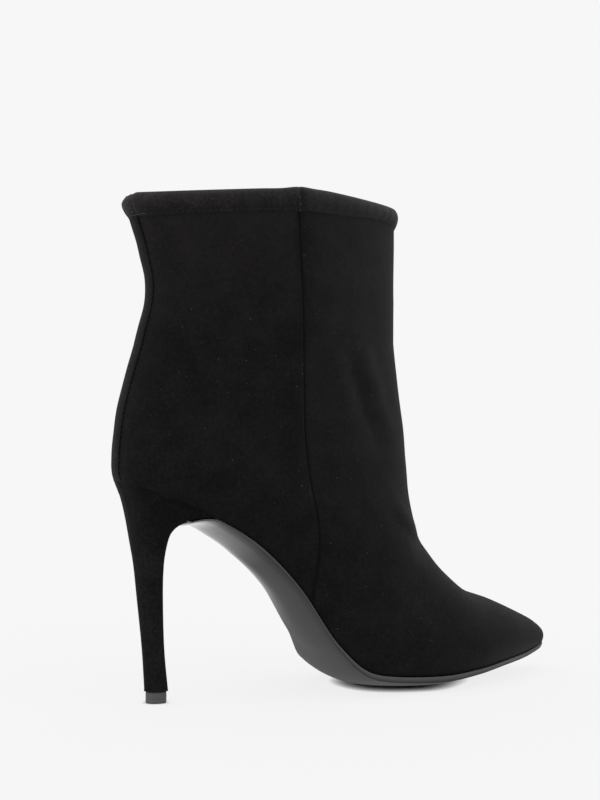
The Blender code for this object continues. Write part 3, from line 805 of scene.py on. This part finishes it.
stitch_tree, stitch_inputs, sewing = new_tree("stitch_row", {
    "Path": "Geometry", "Pitch": "Float", "Length": "Float", "Thickness": "Float", "Thread": "Material"})
thread_path = sewing["Path"]
thread_curve = thread_path.node("GeometryNodeMeshToCurve", {}, {"Mesh": thread_path})
spots = thread_path.node("GeometryNodeCurveToPoints", {"mode": "LENGTH"},
                         {"Curve": thread_curve, "Length": sewing["Pitch"]})
along_thread = Wire(stitch_tree, spots.socket.node.outputs["Rotation"])
bead = thread_path.node("GeometryNodeMeshUVSphere", {}, {"Segments": 6, "Rings": 5, "Radius": 0.5})
stretch = thread_path.node("ShaderNodeCombineXYZ", {}, {
    "X": sewing["Thickness"], "Y": sewing["Thickness"], "Z": sewing["Length"]})
sewn = thread_path.node("GeometryNodeInstanceOnPoints", {}, {
    "Points": spots, "Instance": bead, "Rotation": along_thread, "Scale": stretch})
sewn = sewn.node("GeometryNodeRealizeInstances", {}, {"Geometry": sewn})
end_tree(sewn.node("GeometryNodeSetShadeSmooth", {}, {"Geometry": sewn}), sewing["Thread"])


def thread_material(name, dark, light):
    """Twisted sewing thread with a slight shine."""
    material, shader, place = new_material(name)
    twist = place.noise(1400.0, 2.0)
    place.fill(shader, {
        "Base Color": twist.blend((*dark, 1.0), (*light, 1.0)),
        "Roughness": 0.6 + 0.25 * twist,
        "Normal": twist.bump(0.4, 0.0002),
        "Specular IOR Level": 0.15,
    })
    return material


def grown(name, tree, start_mesh, settings):
    """Plain mesh piece made by a node tree from a starting mesh."""
    maker = add_object(name + "_path", start_mesh)
    grow = maker.modifiers.new("grow", "NODES")
    grow.node_group = tree
    for identifier, value in settings.items():
        grow[identifier] = value
    bpy.context.view_layer.update()
    evaluated = maker.evaluated_get(bpy.context.evaluated_depsgraph_get())
    mesh = bpy.data.meshes.new_from_object(evaluated)
    maker.modifiers.remove(grow)
    bpy.data.objects.remove(maker)
    return add_object(name, mesh)


def stitch_row(name, path, stitch, thread):
    """Row of stitches along a path in millimetres."""
    mesh = bpy.data.meshes.new(name + "_path")
    edges = [(here, here + 1) for here in range(len(path) - 1)]
    mesh.from_pydata(in_frame(path).tolist(), edges, [])
    settings = {stitch_inputs["Pitch"]: stitch.pitch * MM, stitch_inputs["Length"]: stitch.length * MM,
                stitch_inputs["Thickness"]: stitch.thickness * MM, stitch_inputs["Thread"]: thread}
    return grown(name, stitch_tree, mesh, settings)


black_thread = thread_material("black_thread", (0.001, 0.001, 0.001), (0.016, 0.015, 0.015))
# Cuff thread: paler from dust and from a painted highlight.
dust_and_highlight_thread = thread_material("dust_and_highlight_thread", (0.003, 0.003, 0.003), (0.026, 0.025, 0.024))
worn_thread = thread_material("worn_thread", (0.020, 0.019, 0.018), (0.085, 0.082, 0.076))
sewn_turns = np.linspace(-1 + 1.15 * cap_turn, 1 - 1.15 * cap_turn, 600)
sewn_at = COLLAR - SEWN_DROP * cuff_depth(sewn_turns) / COLLAR_ROW_HEIGHT
sewn_out = 0.82 + 0.8 * bell(sewn_turns, FRONT_TURN)
cuff_sewn = off_skin(sewn_at, sewn_turns, sewn_out)
cuff_stitches = stitch_row("cuff_stitches", cuff_sewn, CUFF_STITCH, dust_and_highlight_thread)
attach(cuff_stitches, "root")
outside_stops = slice(6, 28)
for side_name, side in (("outer", -1), ("inner", 1)):
    cap_column = int(np.argmin(np.abs(cuff_turns - side * (1 - 0.55 * cap_turn))))
    cap_path = cuff_grid[cap_column, outside_stops]
    cap_stitches = stitch_row("cap_stitches_" + side_name, cap_path, CAP_STITCH, worn_thread)
    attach(cap_stitches, "root")
    seam_column = int(np.argmin(np.abs(cuff_turns + side * (collar_seam - 0.004))))
    seam_path = cuff_grid[seam_column, outside_stops]
    seam_stitches = stitch_row("seam_stitches_" + side_name, seam_path, SEAM_STITCH, worn_thread)
    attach(seam_stitches, "root")
tack_turns = (np.linspace(1 - 1.9 * cap_turn, 1 + 1.9 * cap_turn, TACK_POINTS) + 1) % 2 - 1
tack_at = np.full(TACK_POINTS, COLLAR - TACK_DROP / COLLAR_ROW_HEIGHT)
bar_tack = stitch_row("bar_tack", off_skin(tack_at, tack_turns, TACK_OUT), TACK_STITCH, worn_thread)
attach(bar_tack, "root")
for ditch_name, ditch_x in (("outer", STRIP_HALF + DITCH_OUT), ("inner", -STRIP_HALF - DITCH_OUT)):
    ditch_turn = turn_at_back(np.full(STRIP_ROWS, ditch_x), strip_at)
    ditch = off_skin(strip_at, ditch_turn, DITCH_LIFT)
    ditch_stitches = stitch_row("strip_stitches_" + ditch_name, ditch, STRIP_STITCH, black_thread)
    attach(ditch_stitches, "root")

# Insole: a board with a soft sock lining glued on it, lying inside the upper over the sole and the seat.
# It is dished under the foot and rounded along its edge.
INSOLE_THICKNESS = 1.6
INSOLE_INSET = 2.8
INSOLE_COLUMNS = 24
INSOLE_TOE_ROW = 1.8
INSOLE_SEAT_ROW = 12
INSOLE_HEEL_ROW = 14.2
places = np.linspace(0, HEEL_BACK, 400)


def outline(at, margin):
    """Edge of the upper moved out by a margin: points on the outer side and on the inner side."""
    outer = np.stack([edge_width("outer_edge", at), section("low_y", at)], axis=1)
    inner = np.stack([-edge_width("inner_edge", at), section("low_y", at)], axis=1)
    skip = 1 if abs(outer[0, 0] - inner[0, 0]) < 1e-6 else 0
    ring = np.concatenate([outer[::-1], inner[skip:]])
    heading = unit(np.gradient(ring, axis=0))
    away = np.stack([heading[:, 1], -heading[:, 0]], axis=1)
    moved = ring + away * np.concatenate([margin[::-1], margin[skip:]])[:, None]
    return moved[:len(at)][::-1], moved[len(at) - skip:]


def row_at(y):
    """Row of the table whose sole line is at this place along the boot."""
    return np.interp(-np.asarray(y), -section("low_y", places), places)


def bed_height(x, y):
    """Height of the surface under the foot, dished between the edges of the upper."""
    at = row_at(y)
    outer = edge_width("outer_edge", at)
    inner = edge_width("inner_edge", at)
    half = np.maximum((outer + inner) / 2, 0.5)
    dish = np.clip(1 - ((x - (outer - inner) / 2) / half) ** 2, 0, 1)
    tilt = np.clip((outer - x) / np.maximum(outer + inner, 1.0), 0, 1)
    return section("low_z", at) + section("rise", at) * tilt - section("crown", at) * dish


def upright_gap(at):
    """Drop that leaves the gap between pieces square to the slope of the bed."""
    slope = np.gradient(section("low_z", at), at) / np.gradient(section("low_y", at), at)
    return GAP * np.sqrt(1 + slope ** 2)


def bed_grid(at, margin, columns):
    """Grid over the surface under the foot, within its edge moved out by a margin."""
    outer, inner = outline(at, margin)
    share = np.linspace(0, 1, columns + 1)[None, :, None]
    flat = outer[:, None] + (inner - outer)[:, None] * share
    return np.concatenate([flat, bed_height(flat[..., 0], flat[..., 1])[..., None]], axis=2)


insole_at = np.concatenate([np.linspace(INSOLE_TOE_ROW, INSOLE_SEAT_ROW, 90),
                            np.linspace(INSOLE_SEAT_ROW, INSOLE_HEEL_ROW, 20)[1:]])
insole_low = bed_grid(insole_at, np.full(len(insole_at), -INSOLE_INSET), INSOLE_COLUMNS)
insole_low[..., 2] += upright_gap(insole_at)[:, None]
insole_top = insole_low.copy()
insole_top[..., 2] += INSOLE_THICKNESS
sock, sock_shader, sock_place = new_material("sock_lining")
weave = sock_place.noise(900.0, 2.0)
worn = sock_place.noise(45.0, 3.0)
sock_shade = (0.5 * weave + 0.8 * (worn - 0.2)).held()
sock_place.fill(sock_shader, {
    "Base Color": sock_shade.blend((0.10, 0.094, 0.088, 1.0), (0.20, 0.19, 0.178, 1.0)),
    "Roughness": 0.62 + 0.2 * worn,
    "Normal": weave.bump(0.35, 0.0003),
})
insole = slab("boot_insole", insole_top, insole_low, ((0.25, 0.3), (0.7, 0.3)), sock)
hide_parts("insole")
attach(insole, "root")

# Outsole: smooth dark grey sole leather, cut a little past the upper, cemented on and finished satin.
# Its edge is thick at the ball and feathered through the arch, with a thin painted highlight along its top
# edge by the upper.
SoleStop = namedtuple("SoleStop", "y margin thickness edge")
SOLE_STOPS = (
    SoleStop(5.4, -0.8, 1.0, 0.9),
    SoleStop(7.2, -0.8, 1.0, 0.9),
    SoleStop(24.0, 0.2, 2.2, 0.85),
    SoleStop(41.0, 0.3, 3.6, 0.9),
    SoleStop(60.0, 0.4, 3.2, 0.8),
    SoleStop(95.0, 0.6, 4.4, 0.7),
    SoleStop(125.0, 0.8, 4.6, 0.7),
    SoleStop(160.0, 0.6, 3.6, 0.7),
    SoleStop(195.0, 0.2, 3.4, 0.75),
    SoleStop(214.8, -0.4, 2.7, 0.8),
)
SOLE_COLUMNS = 48
SOLE_ROUNDING = 1.0
WAIST_PLACES = (10.0, 26.0, 60.0, 86.0)
WAIST_SHARES = (0.0, 1.0, 1.0, 0.0)
WAIST_BELLY = 1.3
WAIST_LIFT = 0.4
WING_START = 20.5
WING_END = 7.2
WING_TIP = 17.5
WING_DEPTH = 6.4
WING_GAP = 0.25
FOREFOOT_START = 14.0
FOREFOOT_BLEND = 30.0


def wing_drop(y):
    """How far the sole leaves the upper to make room for the wing of the heel."""
    return WING_DEPTH * ramp(y, WING_START, WING_END) ** 1.5


def sole_stop(name, y):
    """A column of the sole's table at places along the boot."""
    return np.interp(y, table(SOLE_STOPS, "y"), table(SOLE_STOPS, name))


sole_at = np.concatenate([np.linspace(0, 2, 25), np.linspace(2, float(row_at(SOLE_STOPS[0].y)), 160)[1:]])
sole_y = section("low_y", sole_at)
sole_top = bed_grid(sole_at, sole_stop("margin", sole_y), SOLE_COLUMNS)
sole_top[..., 2] -= upright_gap(sole_at)[:, None] + wing_drop(sole_top[..., 1])
sole_low = sole_top.copy()
towards_inner = np.linspace(-1, 1, SOLE_COLUMNS + 1)
from_middle = np.abs(towards_inner)
thinner_edge = (1 - sole_stop("edge", sole_y))[:, None] * from_middle ** 2
sole_low[..., 2] -= sole_stop("thickness", sole_y)[:, None] * (1 - thinner_edge)
waist = np.interp(sole_y, WAIST_PLACES, WAIST_SHARES)[:, None]
sole_low[..., 2] -= waist * WAIST_BELLY * (1 - from_middle ** 2)
sole_low[..., 2] += waist * WAIST_LIFT * ramp(towards_inner, 0.2, 1) ** 2
rounding = SOLE_ROUNDING * (0.3 + 0.7 * waist)
sole_low[..., 2] += rounding * ramp(from_middle, 0.8, 1) ** 2
sole_low[0] = sole_low[0, 0]
sole_low[..., 2] = np.maximum(sole_low[..., 2], 0.0)
sole_leather, sole_shader, sole_place = new_material("sole_leather")
stretched = sole_place.node("ShaderNodeMapping", {}, {"Vector": sole_place, "Scale": (1.0, 0.12, 0.3)})
brushing = stretched.noise(900.0, 3.0, 0.6)
hide = sole_place.noise(38.0, 4.0, 0.6)
pores = sole_place.noise(1500.0, 2.0)
scuffs = (6.0 * (sole_place.noise(130.0, 4.0, 0.7) - 0.62)).held()
worn_and_shaded_tread = sole_place.mark("tread_wear_and_shade")
edge_highlight = sole_place.mark("painted_edge_highlight")
along_sole = sole_place.node("ShaderNodeSeparateXYZ", {}, {"Vector": sole_place}, output="Y")
forefoot_from = float(in_frame((0, FOREFOOT_START, 0))[1])
forefoot = ((along_sole - forefoot_from) * (1 / (FOREFOOT_BLEND * MM))).held()
# The sole's edge is painted paler along its top and sides at the forefoot: a painted highlight.
sole_shade = 0.35 + 0.5 * (hide - 0.5) + 0.25 * (brushing - 0.5) + 0.8 * edge_highlight * forefoot
# Where the sole lies low by the floor it is darker: scuffs of wear, and a painted contact shade.
sole_shade = (sole_shade - worn_and_shaded_tread * (0.25 * scuffs + 0.3)).held()
# The top of the sole's edge is darkened, most through the arch: edge ink, and a painted shadow in the gap
# under the upper.
inked_and_shadowed = sole_place.mark("edge_ink_and_shadow") * (1 - 0.8 * forefoot)
# The inner edge of the waist is glossier and painted paler: a painted reflection.
painted_rim_reflection = 0.35 * sole_place.mark("rim") ** 2
sole_colour = sole_shade.blend((0.008, 0.008, 0.0085, 1.0), (0.060, 0.060, 0.059, 1.0))
sole_colour = painted_rim_reflection.blend(sole_colour, (0.30, 0.30, 0.295, 1.0))
sole_place.fill(sole_shader, {
    "Base Color": inked_and_shadowed.blend(sole_colour, (0.004, 0.004, 0.004, 1.0)),
    "Roughness": 0.28 + 0.24 * forefoot + 0.15 * (hide - 0.4) + 0.10 * brushing + 0.25 * worn_and_shaded_tread * scuffs,
    "Normal": (0.5 * pores + brushing).bump(0.12, 0.0003),
    "Specular IOR Level": 0.28,
    "Coat Weight": (1 - forefoot + sole_place.mark("rim")).held(),
    "Coat Roughness": 0.16,
})
no_mark = np.zeros(sole_top.shape[:2])
rim = ramp(towards_inner, -0.1, 0.8) ** 1.5 * ramp(sole_low[..., 1], 72, 50)
tread_wear_and_shade = ramp(sole_low[..., 2], 2.5, 0)
outsole = slab("boot_outsole", sole_top, sole_low,
               ((0.04, 0.28), (0.12, 0.42), (0.2, 0.45), (0.5, 0.38), (0.8, 0.15)), sole_leather,
               {"edge_ink_and_shadow": (no_mark + 1, no_mark, (1.0, 0.7, 0.3, 0.0, 0.0)),
                "painted_edge_highlight": (no_mark, no_mark, (0.8, 1.0, 0.7, 0.45, 0.0)),
                "rim": (no_mark, rim, (0.0, 0.0, 0.0, 0.0, 0.0)),
                "tread_wear_and_shade": (no_mark, tread_wear_and_shade, (0.0, 0.0, 0.0, 0.2, 0.7))}, sharp=50)
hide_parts("outsole")
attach(outsole, "root")

# Heel: a hard plastic stiletto, screwed through the seat and covered in thin black suede.
# The cover is glued tight, with a wing under the quarter and a cut edge at the tip.
HeelSection = namedtuple("HeelSection", "back_y back_z front_y front_z half flare")
HEEL_SECTIONS = (
    HeelSection(-4.9, 5.3, 4.9, 5.3, 4.8, 0.0),
    HeelSection(-6.2, 24.0, 3.0, 24.0, 4.9, 0.0),
    HeelSection(-8.7, 47.0, 2.0, 47.0, 5.9, 0.0),
    HeelSection(-10.1, 61.0, 1.6, 60.0, 7.6, 0.03),
    HeelSection(-11.7, 72.0, 1.3, 68.5, 10.2, 0.14),
    HeelSection(-12.9, 81.0, 1.2, 75.2, 13.5, 0.36),
    HeelSection(-14.3, 88.0, 2.8, 79.2, 16.5, 0.66),
    HeelSection(-16.0, 93.6, 6.6, 81.3, 19.0, 0.92),
)
HEEL_SIDE = 40
HEEL_FRONT = 16
HEEL_STEPS = 10
CUT_EDGE_ROWS = (0, 0.008, 0.02, 0.04, 0.065)
WING_ROWS = 12
HEEL_SHADE = 0.28


def heel_ring(back, front, half, flare):
    """Section of the heel: round the outer side, across the breast, back along the inner side."""
    share = 1 - np.cos(np.linspace(0, math.pi / 2, HEEL_SIDE + 1))
    path = np.array(back) + (np.array(front) - np.array(back)) * share[:, None]
    rounding = np.sqrt(np.clip(1 - (1 - np.minimum(share / (0.55 + 0.3 * flare), 1)) ** 2, 0, 1))
    stem = half * rounding * (1 - 0.22 * ramp(share, 0.7, 1) ** 2)
    stem = stem * np.sqrt(1 - 0.3 * ramp(share, 0.88, 1) ** 2 * (1 - flare))
    seat_row = row_at(path[:, 0] + (SECTIONS[HEEL_BACK].low_y - back[0]) * (1 - share))
    outer = stem + (edge_width("outer_edge", seat_row) - stem) * flare
    inner = stem + (edge_width("inner_edge", seat_row) - stem) * flare
    outer_side = np.stack([outer, path[:, 0], path[:, 1]], axis=1)
    inner_side = np.stack([-inner, path[:, 0], path[:, 1]], axis=1)
    span = np.linspace(0, 1, HEEL_FRONT + 1)[1:-1]
    breast = outer_side[-1] + (inner_side[-1] - outer_side[-1]) * span[:, None]
    return np.concatenate([outer_side, breast, inner_side[:0:-1]])


def cap_rows(ring, dished):
    """Rows across the end of a heel section, from its back to its front."""
    lines = []
    for step in range(HEEL_SIDE + 1):
        outer = ring[step]
        inner = ring[-step] if step else ring[0]
        line = outer + (inner - outer) * np.linspace(0, 1, HEEL_FRONT + 1)[:, None]
        if dished and step:
            line[1:-1, 2] = bed_height(line[1:-1, 0], line[1:-1, 1]) - GAP
        lines.append(line)
    return np.array(lines)


def stacked(name, rings, cap, material, marks=None, sharp=None):
    """Closed piece from rings of points, flat at its start and closed over its end by rows across."""
    size = len(rings[0])
    points = np.concatenate([np.concatenate(rings), cap.reshape(-1, 3)])
    faces = [list(range(size))]
    for row in range(len(rings) - 1):
        ring = row * size + np.arange(size)
        faces += band_faces(ring, ring + size)
    faces += grid_faces(cap.shape[0], cap.shape[1], len(rings) * size)
    stored = {}
    for mark, values in (marks or {}).items():
        stored[mark] = np.concatenate([np.repeat(values, size), np.zeros(cap.shape[0] * cap.shape[1])])
    return make_piece(name, points, faces, material, stored, sharp=sharp)


heel_at = np.linspace(0, len(HEEL_SECTIONS) - 1, HEEL_STEPS * (len(HEEL_SECTIONS) - 1) + 1)
heel_at = np.concatenate([CUT_EDGE_ROWS, heel_at[1:]])
stem = {name: smooth(table(HEEL_SECTIONS, name), heel_at) for name in HeelSection._fields}
heel_rings = []
for row in range(len(heel_at)):
    back = (stem["back_y"][row], stem["back_z"][row])
    front = (stem["front_y"][row], stem["front_z"][row])
    ring = heel_ring(back, front, stem["half"][row], stem["flare"][row])
    middle = ring.mean(axis=0)
    turned = np.linspace(0, 2 * math.pi, len(ring))
    frayed = 0.16 + 0.05 * np.sin(7 * turned) + 0.04 * np.sin(13 * turned + 1)
    frayed *= np.exp(-heel_at[row] / 0.03)
    ring[:, :2] += unit(ring - middle)[:, :2] * frayed[:, None]
    heel_rings.append(ring)
seat_back = float(section("low_y", HEEL_BACK))
seat_z = float(section("low_z", HEEL_BACK)) - GAP
breast_top = HEEL_SECTIONS[-1]
across_breast = slice(HEEL_SIDE + 1, HEEL_SIDE + HEEL_FRONT)
for share in np.linspace(0, 1, WING_ROWS):
    front_y = breast_top.front_y + (WING_TIP - breast_top.front_y) * share
    back_y = breast_top.back_y + (seat_back - breast_top.back_y) * (0.3 + 0.5 * share)
    back_z = breast_top.back_z + (seat_z - breast_top.back_z) * (0.3 + 0.5 * share)
    wing = heel_ring((back_y, back_z), (front_y, 0.0), breast_top.half, 0.95 + 0.05 * share)
    under = bed_height(wing[:, 0], wing[:, 1]) - wing_drop(front_y) + WING_GAP
    edge_under = float(section("low_z", row_at(front_y))) - wing_drop(front_y) + WING_GAP
    wing[:, 2] = back_z + (edge_under - back_z) * ramp(wing[:, 1], back_y, front_y)
    wing[across_breast, 2] = under[across_breast]
    heel_rings.append(wing)
seat = heel_ring((seat_back, 0.0), (WING_TIP, 0.0), 1.0, 1.0)
seat[:, 2] = section("low_z", row_at(seat[:, 1])) - 0.02
seat_cap = cap_rows(seat, True)
seat[across_breast] = seat_cap[-1][1:-1]
heel_rings.append(seat)
# The frayed cut edge at the tip is paler. The top of the heel is painted darker: painted shade under the
# shaft. The seat ring is darkened with painted shade where the heel meets the upper.
stem_edge_and_shade = 0.12 * np.exp(-heel_at / 0.05) - HEEL_SHADE * ramp(heel_at, 3.5, 5.5)
heel_edge_and_shade = np.concatenate([stem_edge_and_shade, np.full(WING_ROWS + 1, -HEEL_SHADE)])
heel_seat_shade = np.zeros(len(heel_rings))
heel_seat_shade[-1] = 1.0
heel_suede = suede("heel_suede", (0.0008, 0.0007, 0.0006), (0.0145, 0.0132, 0.0128), 0.45, 0.012)
heel = stacked("boot_heel", heel_rings, seat_cap, heel_suede, {"rub_and_painted_light": heel_edge_and_shade, "seam": heel_seat_shade}, sharp=50)
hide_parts("heel")
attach(heel, "root")

# Top piece: a hard rubber wear piece pinned into the tip of the heel, moulded with a small edge radius.
# It carries the boot on the floor, so its underside is rubbed flat and paler.
TOP_PIECE_HEIGHT = 5.0
TOP_PIECE_HALF = 4.3
TipStop = namedtuple("TipStop", "height inset")
TIP_STOPS = (
    TipStop(0.0, 0.35), TipStop(0.08, 0.15), TipStop(0.35, 0.0), TipStop(1.6, 0.0), TipStop(1.75, 0.07),
    TipStop(1.9, 0.0), TipStop(4.2, 0.0), TipStop(4.8, 0.05), TipStop(TOP_PIECE_HEIGHT, 0.3),
)
tip_rings = []
for stop in TIP_STOPS:
    half = TOP_PIECE_HALF - stop.inset
    ring = heel_ring((-half, stop.height), (half, stop.height), half, 0.0)
    tip_rings.append(ring)
rubber, rubber_shader, rubber_place = new_material("top_piece_rubber")
speckle = rubber_place.noise(1300.0, 3.0)
smear = rubber_place.noise(160.0, 3.0)
grazed = rubber_place.mark("grazed")
rubber_shade = (0.4 + 0.5 * (speckle - 0.5) + 0.8 * (smear - 0.5) + 0.35 * grazed).held()
rubber_place.fill(rubber_shader, {
    "Base Color": rubber_shade.blend((0.030, 0.030, 0.030, 1.0), (0.076, 0.076, 0.075, 1.0)),
    "Roughness": 0.5 + 0.3 * smear,
    "Normal": speckle.bump(0.3, 0.0003),
})
top_piece = stacked("boot_top_piece", tip_rings, cap_rows(tip_rings[-1], False), rubber,
                    {"grazed": np.exp(-table(TIP_STOPS, "height") / 0.3)}, sharp=50)
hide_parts("top_piece")
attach(top_piece, "root")

# Lint: pale fibres and specks of dust caught in the nap of the upper, a fraction of a millimetre each.
# They lie scattered over its outer face, each turned its own way.
LINT_DENSITY = 5200.0
LINT_SMALLEST = (0.00008, 0.00007, 0.00007)
LINT_LARGEST = (0.00040, 0.00019, 0.00019)
LINT_SEED = 7
FULL_TURN = 6.28
lint_tree, lint_inputs, dusting = new_tree("lint", {
    "Suede": "Geometry", "Density": "Float", "Smallest": "Vector", "Largest": "Vector", "Seed": "Int",
    "Fibre": "Material"})
scatter = dusting["Suede"].node("GeometryNodeDistributePointsOnFaces", {}, {
    "Mesh": dusting["Suede"], "Density": dusting["Density"], "Seed": dusting["Seed"]})
speck = scatter.node("GeometryNodeMeshIcoSphere", {}, {"Radius": 1.0, "Subdivisions": 1})
speck_size = scatter.node("FunctionNodeRandomValue", {"data_type": "FLOAT_VECTOR"},
                          {0: dusting["Smallest"], 1: dusting["Largest"]})
spin = scatter.node("FunctionNodeRandomValue", {"data_type": "FLOAT_VECTOR"},
                    {1: (FULL_TURN, FULL_TURN, FULL_TURN)})
settled = scatter.node("GeometryNodeInstanceOnPoints", {}, {
    "Points": scatter, "Instance": speck, "Rotation": spin, "Scale": speck_size})
end_tree(settled.node("GeometryNodeRealizeInstances", {}, {"Geometry": settled}), dusting["Fibre"])
fibre, fibre_shader, fibre_place = new_material("pale_lint")
fibre_tone = fibre_place.noise(300.0, 1.0)
fibre_place.fill(fibre_shader, {
    "Base Color": fibre_tone.blend((0.02, 0.02, 0.019, 1.0), (0.09, 0.088, 0.085, 1.0)),
    "Roughness": 0.8 + 0.1 * fibre_tone,
})
lint_ground = bpy.data.meshes.new("lint_ground")
lint_ground.from_pydata(in_frame(upper_outer.reshape(-1, 3)).tolist(), [], grid_faces(rows, columns))
lint = grown("boot_lint", lint_tree, lint_ground, {
    lint_inputs["Density"]: LINT_DENSITY, lint_inputs["Smallest"]: LINT_SMALLEST,
    lint_inputs["Largest"]: LINT_LARGEST, lint_inputs["Seed"]: LINT_SEED, lint_inputs["Fibre"]: fibre})
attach(lint, "root")

# Studio: a wide pale floor in an even white room, as in a product photograph.
# The floor glows so that it meets the room without a line, and its glow darkens close to the boot: a painted
# contact shadow, from an occlusion term.
# The soft lights fall on the boot alone.
FLOOR_HALF = 20.0
FLOOR_HEIGHT = -0.00005
ROOM_LIGHT = 0.93
FLOOR_TONE = 0.12
CONTACT_REACH = 0.0035
floor_mesh = bpy.data.meshes.new("pale_floor")
floor_corners = ((-FLOOR_HALF, -FLOOR_HALF), (FLOOR_HALF, -FLOOR_HALF), (FLOOR_HALF, FLOOR_HALF),
                 (-FLOOR_HALF, FLOOR_HALF))
floor_mesh.from_pydata([(x, y, FLOOR_HEIGHT) for x, y in floor_corners], [], [(0, 1, 2, 3)])
floor_paint, floor_shader, floor_place = new_material("pale_floor")
nearness = floor_place.node("ShaderNodeAmbientOcclusion", {"samples": 8}, {"Distance": CONTACT_REACH}, "AO")
floor_light = (1.35 * (nearness - 0.14)).held()
floor_place.fill(floor_shader, {
    "Base Color": (FLOOR_TONE, FLOOR_TONE, FLOOR_TONE, 1.0),
    "Roughness": 1.0,
    "Specular IOR Level": 0.0,
    "Emission Color": floor_light.blend((0.0, 0.0, 0.0, 1.0), (1.0, 1.0, 1.0, 1.0)),
    "Emission Strength": ROOM_LIGHT * (1 - FLOOR_TONE),
})
floor_mesh.materials.append(floor_paint)
floor = add_object("pale_floor", floor_mesh)

world = bpy.data.worlds.new("studio")
world.use_nodes = True
Wire(world.node_tree).fill(world.node_tree.nodes["Background"], {
    "Color": (1.0, 1.0, 1.0, 1.0), "Strength": ROOM_LIGHT})
bpy.context.scene.world = world
lit_pieces = bpy.data.collections.new("lit_pieces")
for piece in bpy.context.scene.objects:
    if piece.type == "MESH" and piece is not floor:
        lit_pieces.objects.link(piece)


def softbox(name, place, target, size, power):
    """Large soft light facing a point and falling on the boot."""
    light_data = bpy.data.lights.new(name, "AREA")
    light_data.size = size
    light_data.energy = power
    light = add_object(name, light_data)
    light.location = place
    light.rotation_euler = (Vector(target) - Vector(place)).to_track_quat("-Z", "Y").to_euler()
    light.light_linking.receiver_collection = lit_pieces


softbox("overhead", (0.1, 0.05, 1.6), (0.0, 0.0, 0.1), 1.4, 7.0)
softbox("heel_side", (0.25, -1.3, 0.7), (0.0, 0.0, 0.12), 0.9, 6.0)
softbox("toe_side", (0.5, 1.3, 0.9), (0.0, 0.0, 0.12), 0.9, 7.0)

bpy.context.scene.view_settings.view_transform = "Standard"
bpy.context.scene.view_settings.look = "None"
